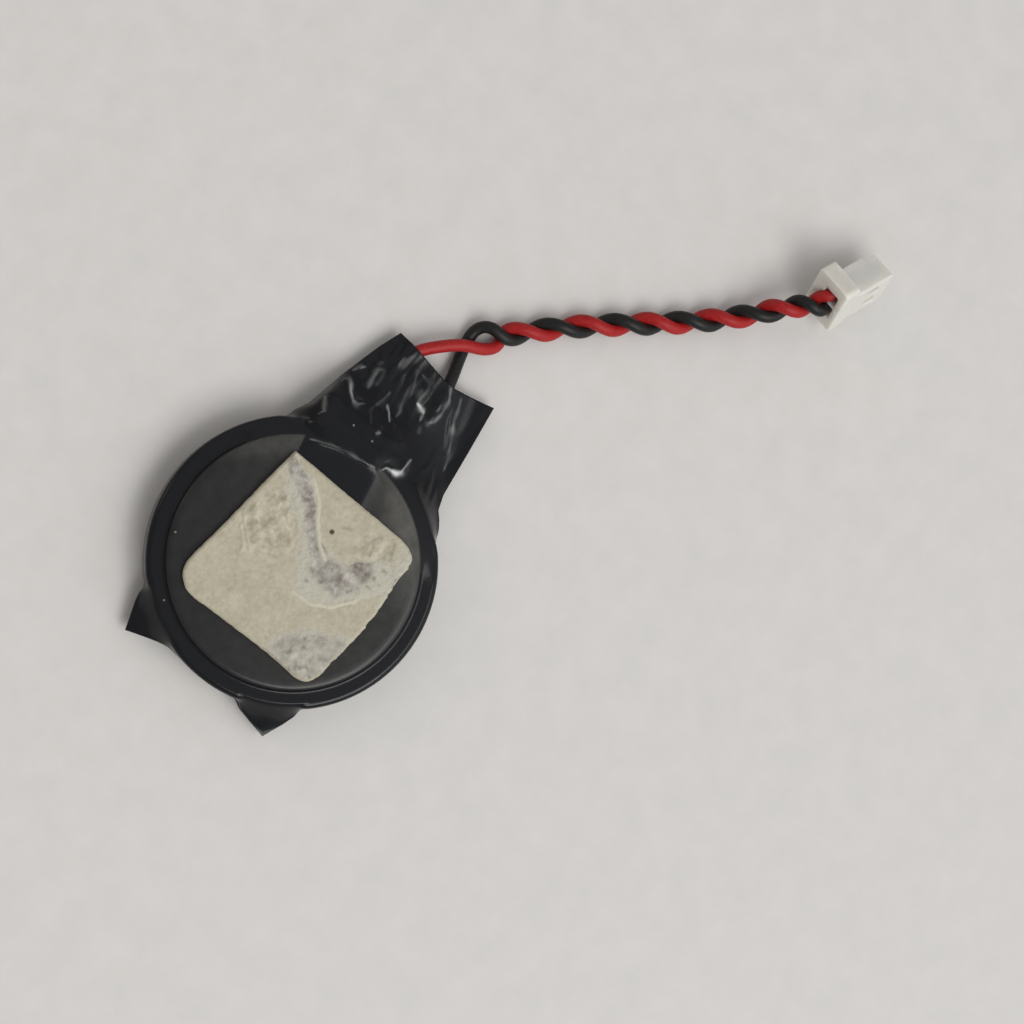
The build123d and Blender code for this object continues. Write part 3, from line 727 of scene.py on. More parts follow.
beside_span = np.maximum(0, abs(GY - 2.0) - 2.0)  # the span is 4 mm wide and falls off beside that
span = np.interp(GX, *np.transpose(cap_to_wires)) - 0.3 * beside_span**2
under_span = (GX > cap_to_wires[0][0]) & (GX < cap_to_wires[-1][0])
upper_under = np.maximum(upper_under, np.where(under_span, span, NOTHING))
between_wires = (GX > 14.4) & (GX < 17.8) & (GY > -1.4) & (GY < 2.6)
wires_level = 1.8 + 0.035 * (GY + 1.4)  # slightly higher over the red wire
upper_under = np.maximum(upper_under, np.where(between_wires, wires_level, NOTHING))
lower_sheet = -shrink(lower_under, -edge_value(edge_rows[:, 3]), 0.0)
sheets_touch = lower_sheet + 2 * film - 0.02  # pressed into each other a little
upper_under = np.maximum(upper_under, np.where(radius_at < disc_radius, NOTHING, sheets_touch))
upper_sheet = shrink(upper_under, edge_value(edge_rows[:, 2]), upper_cling)
print("sheets:", round(float(lower_sheet.min()), 2), "to", round(float(upper_sheet.max()), 2), "mm")

# %% [markdown]
# ## Creases
# Where the tube shrank over the step from the cell down to the wires it had more film than it needed,
# so it gathered into sharp folds that run towards the wires. Each fold is a short line with a height
# and a width; its section is a small roof, because film bends at a line and stays straight beside it.

# %% Folds in the flap
folds = [
    # points along the fold, half width, slope of its sides
    ([(12.5, 4.9), (12.75, 4.7), (12.0, 4.2), (11.65, 3.6), (12.0, 2.8)], 0.24, 0.6),
    ([(12.6, 3.35), (13.7, 3.55), (15.0, 3.75)], 0.32, 0.28),
    ([(12.1, 2.25), (13.0, 2.1), (14.2, 1.8)], 0.28, 0.30),
    ([(11.9, 0.75), (12.6, 1.45), (13.6, 1.5), (15.4, 1.9)], 0.28, 0.30),
    ([(12.4, 0.3), (13.4, 0.75), (14.6, 0.95), (16.2, 1.35)], 0.32, 0.30),
    ([(13.0, -0.5), (14.3, -0.1), (15.6, -0.15), (16.6, 0.3)], 0.34, 0.34),
    ([(16.8, -2.35), (15.0, -2.9), (13.1, -4.0), (11.9, -4.45), (10.7, -5.2)], 0.28, 0.32),
    ([(15.8, 3.2), (16.9, 3.3)], 0.2, 0.2),
    ([(15.4, 2.5), (17.2, 2.8)], 0.22, 0.2),
    ([(10.5, 1.0), (11.3, 0.85)], 0.2, 0.35),
    ([(11.5, 0.3), (12.1, 0.2)], 0.2, 0.35),
    ([(9.35, 4.81), (10.07, 4.92), (10.81, 5.23)], 0.24, 0.9),
    ([(13.4, 4.84), (13.98, 4.56), (14.3, 4.27)], 0.22, 0.9),
    ([(8.81, -0.89), (9.24, -1.1), (9.37, -2.06), (9.86, -2.23), (10.66, -2.23)], 0.2, 0.5),
    ([(10.2, -3.2), (11.4, -3.6), (13.0, -3.3)], 0.3, 0.2),
    ([(9.4, -4.6), (10.6, -4.3), (12.0, -3.7)], 0.3, 0.22),
    ([(9.0, -5.3), (10.0, -5.1), (11.2, -4.7)], 0.26, 0.22),
    ([(7.39, 4.47), (8.29, 2.33), (8.66, -0.4)], 0.22, 0.3),
]


def nearest_on(line, x, y):
    """Distance of places to a line through points, and how far along it the nearest place lies."""
    away, along, passed = np.full(np.shape(x), np.inf), np.zeros(np.shape(x)), 0.0
    for (ax, ay), (bx, by) in zip(line, line[1:]):
        step = math.dist((ax, ay), (bx, by))
        t = np.clip(((x - ax) * (bx - ax) + (y - ay) * (by - ay)) / ((bx - ax) ** 2 + (by - ay) ** 2), 0, 1)
        here = np.hypot(x - ax - t * (bx - ax), y - ay - t * (by - ay))
        along = np.where(here < away, passed + t * step, along)
        away = np.minimum(away, here)
        passed += step
    return away, along


def roof(points, half_width, slope):
    """Extra height of one fold: a roof along its line that fades out at both ends."""
    full = line_length(points)
    away, at = nearest_on(points, GX, GY)
    fade_run, least = 0.35 * full, 0.25
    fade_in = np.minimum(ease(at, 0, fade_run) + least, 1)
    fade_out = np.minimum(ease(full - at, 0, fade_run) + least, 1)
    rounded = np.sqrt(away**2 + 0.03**2) - 0.03
    return slope * (fade_in * fade_out) * np.clip(half_width - rounded, 0, None)


creases = np.zeros(GX.shape)
for points, half_width, slope in folds:
    creases = np.maximum(creases, roof(points, half_width, slope))
print("highest crease:", round(float(creases.max()), 2), "mm")

# %% [markdown]
# ## Ripples
# Between the folds the film is never quite flat. Noise drawn out along the tube gives it gathered
# ripples, and where the same noise is folded at zero it gives sharp little ridges. Each kind keeps to
# its own part of the flap and fades at that part's border.

# %% Ripples in the flap
def blurred(height, sigma_mm):
    """The same heights with everything finer than sigma smoothed out."""
    padded = np.pad(height, 20, mode="edge")
    fx = np.fft.fftfreq(padded.shape[0], grid_step)[:, None]
    fy = np.fft.fftfreq(padded.shape[1], grid_step)[None, :]
    spectrum = np.exp(-2 * math.pi**2 * sigma_mm**2 * (fx**2 + fy**2))
    return np.fft.ifft2(np.fft.fft2(padded) * spectrum).real[20:-20, 20:-20]


def gathered_noise(seed, along_mm, across_mm):
    """Random ripples drawn out along the tube."""
    draw = np.random.default_rng(seed).standard_normal(GX.shape)
    fx = np.fft.fftfreq(GX.shape[0], grid_step)[:, None]
    fy = np.fft.fftfreq(GX.shape[1], grid_step)[None, :]
    spectrum = np.exp(-2 * math.pi**2 * ((fx * along_mm) ** 2 + (fy * across_mm) ** 2))
    ripple = np.fft.ifft2(np.fft.fft2(draw) * spectrum).real
    return ripple / ripple.std()


def within(value, low, high, border):
    """1 between two values, fading to 0 at both over a border."""
    return ease(np.minimum(value - low, high - value), 0, border)


in_flap = ease(GX, 10.0, 12.0) * within(GY, -5.4, 5.0, 0.8)
in_folds = ease(GX, 11.2, 12.2) * ease(17.2 - GX, 0, 1.5) * within(GY, -2.6, 4.6, 0.9)
over_wires = ease(GX, 14.2, 15.4) * within(GY, -2.2, 4.0, 0.8)
ridged = np.maximum(0, 1 - abs(gathered_noise(31, 0.8, 0.24))) * (gathered_noise(37, 1.2, 0.6) > 0.2)
fine_ridges = np.maximum(0, 1 - abs(gathered_noise(41, 1.4, 0.13)))
ripples = 0.008 * gathered_noise(11, 0.9, 0.3) * in_flap + 0.045 * blurred(ridged, 0.05) * in_folds
ripples = ripples + 0.02 * blurred(fine_ridges, 0.04) * over_wires
smooth_skin = 0.004 * gathered_noise(5, 0.9, 0.9)

# The flap's plain long side is pressed flat: there the sheet drops to the height of its edge.
flap_side = [(x, y) for x, y, *_ in edge_places[12:17]]
from_side, _ = nearest_on(flap_side, GX, GY)
pressed = 1 - (1 - ease(from_side, 0.5, 2.1)) * ease(GX, 9.8, 12.5) * (GY < 0)
side_height = edge_value(edge_rows[:, 2])
flattened = np.maximum(side_height + pressed * (upper_sheet - side_height), upper_under)
upper_sheet = np.where(radius_at < grid_reach, flattened, upper_sheet)

# Over the face the welded tab shows through only faintly.
over_face = 1 - ease(radius_at, 8.0, 8.6)
upper_sheet = upper_sheet - 0.65 * over_face * np.maximum(0, upper_sheet - cap_height)
upper_sheet = blurred(upper_sheet, 0.15) + creases + ripples + smooth_skin
lower_sheet = lower_sheet - np.maximum(0, 0.03 * gathered_noise(23, 0.7, 0.25)) * in_flap
lower_sheet = np.maximum(lower_sheet, 0.0)
print("ripples up to:", round(float(ripples.max()), 3), "mm")

# %% [markdown]
# ## Wrapping the mesh
# The film's mesh has one column for each bearing. A column starts in the middle of the face, runs out
# over the rim, turns over the edge and comes back underneath. Round the disc it follows the cell's
# rounded section, and where the film leaves the disc it takes its heights from the relaxed sheets. An
# open end gets a slot as deep as one sees in.

# %% Columns of the film
face_end = 8.2  # radius of the flat face
step_end = 9.2  # radius where the step down to the rim has ended
shoulder_start = 9.85
shoulder_radius = disc_radius - shoulder_start
base_end = 9.35  # radius of the flat base
base_radius = 0.9  # of the rounded edge round the base
mouth_depth = 1.6  # an open end is hollow this far in
hair = 0.02  # the least distance kept between the two sheets


def sample(sheet, x, y):
    """Height of a sheet at any place, by bilinear interpolation."""
    u = np.clip((x - grid_x[0]) / grid_step, 0, len(grid_x) - 1.001)
    v = np.clip((y - grid_y[0]) / grid_step, 0, len(grid_y) - 1.001)
    i, j = u.astype(int), v.astype(int)
    du, dv = u - i, v - j
    return (
        sheet[i, j] * (1 - du) * (1 - dv)
        + sheet[i + 1, j] * du * (1 - dv)
        + sheet[i, j + 1] * (1 - du) * dv
        + sheet[i + 1, j + 1] * du * dv
    )


def cap_drop(r):
    """How far the film has come down from the cap's face at a radius: a soft edge, then the rim's flat."""
    section = [
        # radius, share of the step
        (0, 0), (8.3, 0), (8.5, 0.02), (8.65, 0.06), (8.78, 0.16), (8.86, 0.36), (8.93, 0.66), (9.0, 0.9),
        (9.06, 0.98), (9.14, 1.0), (20, 1.0),
    ]
    radii, shares = np.transpose(section)
    return np.interp(r, radii, shares) * (cap_height - rim_height)


face_rows = np.linspace(0, 1, 30)[1:] * face_end
step_rows = np.concatenate(
    [np.linspace(face_end, step_end, 22)[1:], np.linspace(step_end, shoulder_start, 8)[1:]]
)
edge_steps = np.linspace(0, 1, 76)[1:]
base_rows = np.linspace(0, base_end, 14)[1:]
base_steps = np.linspace(0, 1, 36)[1:]
leaves_disc = ease(reach - disc_radius, 0.02, 0.55)
cos_b, sin_b = np.cos(bearings), np.sin(bearings)
away_from_flap = ease(abs(np.degrees(bearings)), 50, 62)


def over_shoulder(t, end_height):
    """Section of the upper rounded edge, from the rim's flat down the side to a height."""
    quarter = shoulder_radius * math.pi / 2
    centre = rim_height - shoulder_radius
    part_turn = shoulder_radius * np.arccos(np.clip((end_height - centre) / shoulder_radius, -1, 1))
    full = np.where(end_height < centre, quarter + centre - end_height, part_turn)
    run = t * full
    turn = np.minimum(run, quarter) / shoulder_radius
    out = shoulder_start + shoulder_radius * np.sin(turn)
    return out, centre + shoulder_radius * np.cos(turn) - np.maximum(run - quarter, 0)


def under_base(t, end_height):
    """Section of the lower rounded edge, from the base's flat up the side to a height."""
    quarter = base_radius * math.pi / 2
    part_turn = base_radius * np.arccos(np.clip((base_radius - end_height) / base_radius, -1, 1))
    full = np.where(end_height > base_radius, quarter + end_height - base_radius, part_turn)
    run = t * full
    turn = np.minimum(run, quarter) / base_radius
    height = base_radius - base_radius * np.cos(turn) + np.maximum(run - quarter, 0)
    return base_end + base_radius * np.sin(turn), height


def towards_sheet(on_disc, sheet, r):
    """A row's place: the disc's own section, or the sheet's wherever the film has left the disc."""
    r_disc, z_disc = on_disc
    z_sheet = sample(sheet, r * cos_b, r * sin_b)
    return r_disc + leaves_disc * (r - r_disc), z_disc + leaves_disc * (z_sheet - z_disc)


def film_rows():
    """Every row of the film's mesh, each as radius and height per column."""
    rows = []
    for r in np.r_[face_rows, step_rows]:
        z = sample(upper_sheet, r * cos_b, r * sin_b)
        plain = away_from_flap * ease(r, 7.6, 8.2)
        rows.append((np.full_like(bearings, r), z + plain * (cap_height - cap_drop(r) - z)))
    rim_z = rows[-1][1]
    for t in edge_steps:
        r_disc, z_disc = over_shoulder(t, upper_end)
        z_disc = z_disc + (rim_z - rim_height) * (1 - t)
        r_sheet = shoulder_start + t * (reach - shoulder_start)
        rows.append(towards_sheet((r_disc, z_disc), upper_sheet, r_sheet))
    upper_count = len(rows)
    r_top, z_top = rows[-1]
    lower = [(np.full_like(bearings, r), np.zeros_like(bearings)) for r in base_rows]
    for t in base_steps:
        r_sheet = base_end + t * (reach - base_end)
        lower.append(towards_sheet(under_base(t, lower_end), lower_sheet, r_sheet))
    r_low, z_low = lower[-1]
    gap = np.maximum(z_top - z_low - 2 * film, hair)
    depth = openness * np.clip(gap * 6, 0.25, mouth_depth)
    lip = np.minimum(film, (z_top - z_low) / 2 - hair / 2)
    for part in (0.0, 0.5, 1.0):
        rows.append((r_top - depth * part, z_top - lip - (1 - openness) * part * hair))
    for part in (1.0, 0.5, 0.0):
        rows.append((r_low - depth * part, z_low + lip))
    rows.extend(reversed(lower))
    return rows, upper_count


rows, upper_count = film_rows()
rings = [np.stack([r * cos_b, r * sin_b, z], axis=1) for r, z in rows]
middle = np.array([0.0])
middle_height = float(sample(upper_sheet, middle, middle)[0])
film_vertices, film_faces = wrap_rings(rings, (0, 0, middle_height), (0, 0, 0))
print("film faces:", len(film_faces))

# %% [markdown]
# ## Film finish
# The film is glossy black polyolefin. Pressed flat on the cap it is rubbed and slightly hazy, so it looks
# greyer there than on the tight, clean rim. A haze mask is stored on the mesh's points: weak over most of
# the cap, stronger beside the flap, and none on the rim, over the tab and on the flap. The same mask also
# carries painted sheen that grows along the side next to the right window, where the cap is drawn lighter
# by that window's light. A second mask holds painted highlights: pale lines along the sharp folds that
# stand for the windows' reflections on them.

# %% Film material
film_black, tree, shader = new_finish("shrink_film_black", ior=1.49)
shader.inputs["Specular IOR Level"].default_value = 0.28
cloudy = place_group(tree, grain_group, Size_mm=0.9)["Tone"]
uneven = place(tree, "ShaderNodeMapRange", Value=cloudy, To_Min=0.62, To_Max=1.0).outputs["Result"]
haze_and_sheen = computed(tree, "MULTIPLY", stored_mask(tree, "haze_and_sheen"), uneven)
specks = place_group(tree, dust_group, Spacing_mm=2.4, Speck=0.035)["Mask"]
# The haze mask pales the film: real haze, plus painted sheen on the right window's side.
colour = mixed(tree, haze_and_sheen, linear(18, 19, 22), linear(96, 95, 90))
colour = mixed(tree, specks, colour, linear(120, 120, 116))
# Painted highlights: pale lines along the folds that stand for the windows' reflections.
colour = mixed(tree, stored_mask(tree, "painted_highlights"), colour, linear(205, 208, 206))
tree.links.new(colour, shader.inputs["Base Color"])
roughness_range(tree, haze_and_sheen, shader, 0.18, 0.48)
add_bump(tree, place_group(tree, grain_group, Size_mm=0.25)["Height"], shader, 0.004)
sleeve = add_piece("film_sleeve", film_vertices, film_faces, film_black)
print("film finish nodes:", len(tree.nodes))

# %% Haze and painted sheen on the cap
film_x, film_y, film_z = film_vertices.T
in_cap = 1 - ease(np.hypot(film_x, film_y), 8.75, 8.95)
on_face = film_z > 3.0
tab_middle, tab_turn, tab_half_width = (3.3, 1.15), math.radians(10), 2.8
from_x, from_y = film_x - tab_middle[0], film_y - tab_middle[1]
tab_x = from_x * math.cos(tab_turn) + from_y * math.sin(tab_turn)
tab_y = -from_x * math.sin(tab_turn) + from_y * math.cos(tab_turn)
over_tab = (1 - ease(abs(tab_y), tab_half_width, tab_half_width + 0.1)) * ease(tab_x, -5.2, -4.5)
# Two directions across the face, a right angle apart: one to the right window, one to the flap.
to_window = 0.61 * film_x - 0.79 * film_y
to_flap = 0.79 * film_x + 0.61 * film_y
# Real haze from rubbing, plus painted sheen that grows towards the right window's side.
haze_and_window_sheen = 0.15 + 0.1 * ease(to_window, -8, 4) + 0.6 * ease(to_window, 5.5, 7.6) * ease(to_flap, -6, 3)
haze_and_window_sheen = haze_and_window_sheen + 0.35 * ease(to_flap, 6.6, 8.4) * (to_window < 1.5)
cap_haze_and_sheen = haze_and_window_sheen * in_cap * (1 - over_tab) * on_face
store_mask(sleeve, "haze_and_sheen", cap_haze_and_sheen)
print("strongest haze:", round(float(cap_haze_and_sheen.max()), 2))

# %% Painted highlights along the folds
painted_highlight_lines = [
    # points along the line, half width in mm, strength of the painted highlight
    ([(12.22, 4.97), (12.47, 4.96), (12.68, 4.69), (12.39, 4.39), (11.9, 4.05), (11.51, 3.62)], 0.11, 0.42),
    ([(11.51, 3.62), (11.46, 3.23), (11.89, 2.78)], 0.13, 0.6),
    ([(13.42, 4.79), (13.96, 4.57), (14.13, 4.25)], 0.09, 0.4),
    ([(10.52, 5.33), (9.99, 5.04), (9.51, 4.84), (9.14, 4.98)], 0.11, 0.6),
    ([(12.99, 3.23), (13.49, 3.3), (13.97, 3.39), (14.51, 3.44), (14.76, 3.08)], 0.15, 0.2),
    ([(13.55, 2.89), (14.02, 2.88), (14.81, 3.03)], 0.15, 0.1),
    ([(14.78, 3.7), (15.18, 3.48)], 0.12, 0.1),
    ([(12.34, 2.08), (13.09, 1.86), (13.78, 1.81)], 0.14, 0.25),
    ([(12.86, 1.45), (12.54, 1.05), (11.94, 0.63)], 0.13, 0.38),
    ([(12.6, 0.46), (13.07, 0.41), (13.47, 0.6), (14.23, 0.79), (15.33, 0.79), (16.09, 1.09)], 0.14, 0.12),
    ([(16.21, 0.72), (16.01, -0.05), (15.45, -0.28), (14.54, -0.16)], 0.2, 0.13),
    ([(15.3, 0.1), (14.5, -0.3), (14.3, -0.4)], 0.3, 0.1),
    ([(14.38, -0.19), (14.31, -0.54), (14.12, -0.99)], 0.17, 0.9),
    ([(14.12, -0.99), (13.5, -1.13)], 0.11, 0.25),
    ([(16.77, -1.47), (15.9, -1.97), (14.81, -2.07), (14.09, -1.97), (13.84, -1.78)], 0.15, 0.22),
    ([(16.67, -2.55), (15.92, -2.86), (15.17, -3.06), (13.81, -3.86), (12.78, -4.38), (11.92, -4.67)],
     0.12, 0.25),
    ([(8.81, -0.92), (9.1, -1.06), (9.22, -1.43), (9.29, -1.85), (9.57, -2.09), (10.17, -2.14),
      (10.8, -2.22)], 0.13, 0.9),
    ([(7.39, 4.37), (7.96, 3.07), (8.22, 1.85), (8.38, 0.74), (8.6, -0.43)], 0.1, 0.16),
    ([(10.6, 1.0), (10.8, 0.75)], 0.16, 0.22),
    ([(12.66, -1.56), (13.26, -1.4)], 0.12, 0.07),
    ([(10.91, 1.63), (11.78, 2.17), (12.4, 2.12)], 0.1, 0.07),
    ([(7.59, 6.78), (8.21, 6.0), (8.55, 5.29)], 0.14, 0.08),
]
patchy = np.clip(0.75 + 0.35 * sample(gathered_noise(61, 0.3, 0.3), film_x, film_y), 0.3, 1.15)
thin_or_wide = np.clip(1 + 0.4 * sample(gathered_noise(67, 0.25, 0.25), film_x, film_y), 0.45, 1.7)
highlight_strength = np.zeros(len(film_vertices))
for line, half_width, strength in painted_highlight_lines:
    away, along = nearest_on(line, film_x, film_y)
    taper = 0.35 + 0.65 * np.sin(math.pi * np.clip(along / line_length(line), 0, 1)) ** 0.6
    core = np.exp(-((away / (half_width * taper * thin_or_wide)) ** 2))
    highlight_strength = np.maximum(highlight_strength, strength * core)
on_upper_sheet = np.arange(len(film_vertices)) < upper_count * len(bearings)
# Only the upper sheet carries the painted highlights.
store_mask(sleeve, "painted_highlights", np.clip(highlight_strength * patchy * on_upper_sheet, 0, 1))
print("whitened points:", int((highlight_strength * on_upper_sheet > 0.05).sum()))
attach(sleeve, "root")
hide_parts("heat_shrink_sleeve")

# %% [markdown]
# ## The foam pad
# The pad is a square of cream double-sided foam, cut by hand and stuck on the face. One corner is
# sharp, two are worn round, one is torn, and the edge facing away from the flap's side is frayed. Its
# mesh is made like the film's: rings of points that run from the middle out to the edge and down the
# side. Peeling crumpled its face in two places and left three short creases.

# %% Pad shape
pad_middle = np.array([-0.2, -0.6])
pad_corners = [
    (6.05, 4.67), (5.95, 2.2), (5.85, -0.2), (5.8, -2.6), (5.7, -5.3), (5.5, -6.0), (5.1, -6.4),
    (4.5, -6.62), (3.8, -6.35), (2.3, -6.5), (0.9, -6.6), (-0.6, -6.56), (-2.0, -6.5), (-2.7, -6.36),
    (-3.6, -6.28), (-4.4, -6.12), (-5.45, -6.08), (-5.95, -5.8), (-6.36, -5.2), (-6.26, -4.1),
    (-6.14, -3.0), (-6.1, -1.5), (-6.12, 0.1), (-6.14, 2.1), (-6.14, 3.9), (-6.38, 4.35), (-6.08, 4.62),
    (-5.85, 5.2), (-5.4, 5.7), (-4.6, 5.97), (-3.1, 5.74), (-0.4, 5.4), (2.9, 5.05),
]
foam_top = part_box("foam_pad")[1][2] / MM
pad_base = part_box("pad_adhesive")[0][2] / MM


def polar_reach(corners, middle, at):
    """Distance from a middle to a closed outline, for each bearing."""
    loop = np.array([*corners, corners[0]]) - middle
    dense = np.concatenate([np.linspace(a, b, 80, endpoint=False) for a, b in zip(loop, loop[1:])])
    angles = np.arctan2(dense[:, 1], dense[:, 0])
    order = np.argsort(angles)
    return np.interp(at, angles[order], np.hypot(dense[:, 0], dense[:, 1])[order], period=2 * math.pi)


def surface_noise(x, y, size, seed, octaves=3):
    """Smooth random values over plan places, from a few layers of Blender's own noise."""
    total, weight = np.zeros(len(x)), 0.0
    for layer in range(octaves):
        scale, share = 2**layer / size, 0.5**layer
        total += share * np.array(
            [noise.noise((a * scale + seed, b * scale - seed, seed * 0.37 + layer)) for a, b in zip(x, y)]
        )
        weight += share
    return total / weight


def away_from(line, x, y):
    """Distance of places to a line through points."""
    return nearest_on(line, x, y)[0]


def near(middle, x, y, full_to, none_from):
    """1 round a middle, fading to 0 between two distances from it."""
    return 1 - ease(np.hypot(x - middle[0], y - middle[1]), full_to, none_from)


pad_turns = np.linspace(-math.pi, math.pi, 480, endpoint=False)
pad_reach = polar_reach(pad_corners, pad_middle, pad_turns)
edge_x = pad_middle[0] + pad_reach * np.cos(pad_turns)
edge_y = pad_middle[1] + pad_reach * np.sin(pad_turns)
softer = np.array([
    np.interp(pad_turns + turn, pad_turns, pad_reach, period=2 * math.pi)
    for turn in np.radians(np.linspace(-5, 5, 21))
]).mean(axis=0)
sharp_corner = math.atan2(pad_corners[0][1] - pad_middle[1], pad_corners[0][0] - pad_middle[0])
blunt = ease(abs(pad_turns - sharp_corner), math.radians(4), math.radians(10))
pad_reach = pad_reach + blunt * (softer - pad_reach)
fraying = 0.05 + 0.13 * ease(-edge_y, 5.6, 6.1)
pad_reach = pad_reach + fraying * surface_noise(edge_x, edge_y, 0.5, 3.0)

creases_in_pad = [
    [(0.6, 5.0), (-0.4, 4.0), (-1.3, 3.0)],
    [(-0.3, 4.55), (-1.0, 3.9), (-1.55, 3.4)],
    [(1.2, 4.5), (0.5, 3.6)],
]

big_crumple, small_crumple = (1.2, 2.9), (3.9, -3.9)


def from_crease(crease, x, y):
    """Distance to a crease's line, shaken a little so that the crease wanders."""
    return away_from(crease, x, y) + 0.11 * (1 + surface_noise(x, y, 0.45, 9.0))


def crumple_noise(x, y):
    """The unevenness of the crumpled foam; its painted highlights and painted shade follow the same noise.
    """
    return surface_noise(x, y, 0.6, 12.0)


def pad_top(x, y, inward):
    """Height of the foam's upper face; it rolls over a little at the rim."""
    height = foam_top - 0.1 * (1 - ease(inward, 0, 0.22)) ** 2
    height = height + 0.012 * surface_noise(x, y, 1.6, 7.0) + 0.02 * surface_noise(x, y, 0.35, 17.0)
    crumpled = 0.26 * near(big_crumple, x, y, 1.4, 3.0) + 0.16 * near(small_crumple, x, y, 0.7, 1.9)
    height = height + crumpled * crumple_noise(x, y)
    for crease in creases_in_pad:
        height = height + 0.17 * np.clip(1 - from_crease(crease, x, y) / 0.28, 0, 1)
    return height


outward = np.stack([np.cos(pad_turns), np.sin(pad_turns)], axis=1)
pad_rings = []
for share in np.linspace(0, 1, 66)[1:] ** 0.8:
    x, y = (pad_middle[i] + share * pad_reach * outward[:, i] for i in (0, 1))
    pad_rings.append(np.stack([x, y, pad_top(x, y, (1 - share) * pad_reach)], axis=1))
rim_ring = pad_rings[-1]
for drop in np.linspace(0, 1, 7)[1:]:
    bulge = 0.05 * math.sin(math.pi * drop)
    z = rim_ring[:, 2] + (pad_base - rim_ring[:, 2]) * drop
    pad_rings.append(np.column_stack([rim_ring[:, :2] + bulge * outward, z]))
middle_height = pad_rings[0][:, 2].mean()
pad_vertices, pad_faces = wrap_rings(pad_rings, (*pad_middle, middle_height), (*pad_middle, pad_base))
print("pad faces:", len(pad_faces))

# %% [markdown]
# ## Foam finish
# Cream acrylic foam tape: fine open grain, slightly uneven in colour where it has been handled. Two
# masks on the mesh's points do the rest. One holds what is darker: a dark speck pressed into the foam,
# painted shade in the hollows of the crumpled places and dark lines along some small wrinkles. The
# other holds painted highlights on the creases and on the crumples' tops.

# %% Foam material
cream_foam, tree, shader = new_finish("cream_foam", roughness=0.8, ior=1.45)
stain = place_group(tree, grain_group, Size_mm=2.2, Detail=5.0)["Tone"]
pore_tone = place_group(tree, grain_group, Size_mm=0.3, Detail=5.0)["Tone"]
uneven = computed(tree, "MULTIPLY_ADD", pore_tone, 0.55, computed(tree, "MULTIPLY", stain, 0.45))
foam_dust = place_group(tree, dust_group, Spacing_mm=0.9, Speck=0.03)["Mask"]
colour = mixed(tree, uneven, linear(163, 156, 134), linear(198, 192, 172))
# Darker: a real dark speck, painted shade in the crumples' hollows and dark lines along small wrinkles.
colour = mixed(tree, stored_mask(tree, "speck_and_shade"), colour, linear(70, 60, 50))
colour = mixed(tree, foam_dust, colour, linear(150, 140, 118))
# Paler: painted highlights on the creases and on the crumples' tops.
colour = mixed(tree, stored_mask(tree, "painted_ridge_highlight"), colour, linear(217, 212, 194))
tree.links.new(colour, shader.inputs["Base Color"])
add_bump(tree, place_group(tree, grain_group, Size_mm=0.12, Detail=6.0)["Height"], shader, 0.035)
pad = add_piece("foam_square", pad_vertices, pad_faces, cream_foam)

# %% Dark speck, painted shade and painted highlights on the foam
pad_x, pad_y, pad_z = pad_vertices.T
speck_at = (3.16, -0.72)
wrinkles = [
    [(3.57, -3.06), (4.57, -3.44), (5.35, -3.99)],
    [(3.47, -3.84), (4.04, -3.66), (4.57, -3.44)],
    [(4.12, -5.12), (5.16, -4.76)],
    [(3.9, -1.2), (4.13, -1.74)],
]
on_top = pad_z > foam_top - 0.4
crumple_shade = crumple_noise(pad_x, pad_y)
near_crumple = np.maximum(
    near(big_crumple, pad_x, pad_y, 1.6, 3.2), near(small_crumple, pad_x, pad_y, 0.8, 2.0)
)
# Painted highlights on the crumples' tops and along the creases.
painted_ridge_highlight = 0.55 * near_crumple * ease(crumple_shade, 0.02, 0.45)
for crease in creases_in_pad:
    away = from_crease(crease, pad_x, pad_y)
    painted_ridge_highlight = np.maximum(painted_ridge_highlight, np.exp(-((away / 0.14) ** 2)))
# A real dark speck, painted shade in the crumples' hollows, and dark lines along the small wrinkles.
speck_and_shade = near(speck_at, pad_x, pad_y, 0.12, 0.24)
speck_and_shade = np.maximum(speck_and_shade, 0.2 * near_crumple * ease(-crumple_shade, 0.05, 0.3) * on_top)
for wrinkle in wrinkles:
    away = away_from(wrinkle, pad_x, pad_y)
    speck_and_shade = np.maximum(speck_and_shade, 0.3 * np.exp(-((away / 0.12) ** 2)))
store_mask(pad, "painted_ridge_highlight", 0.75 * painted_ridge_highlight * on_top)
store_mask(pad, "speck_and_shade", speck_and_shade)
print("darkened points:", int((speck_and_shade > 0.05).sum()), "pale points:", int((painted_ridge_highlight > 0.05).sum()))
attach(pad, "root")
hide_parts("foam_pad", "pad_adhesive")

# %% [markdown]
# ## What the liner left behind
# The release liner was pulled off and tore, so a band of its fibres still sticks to the foam, with some
# more at the torn corner and along the frayed edge. A rag has no straight edge: its thickness is noise
# that fades out towards its border, and wherever the thickness falls below the foam's face the rag
# ends. Two torn edges curled up and stand as ridges, with a painted highlight along them.

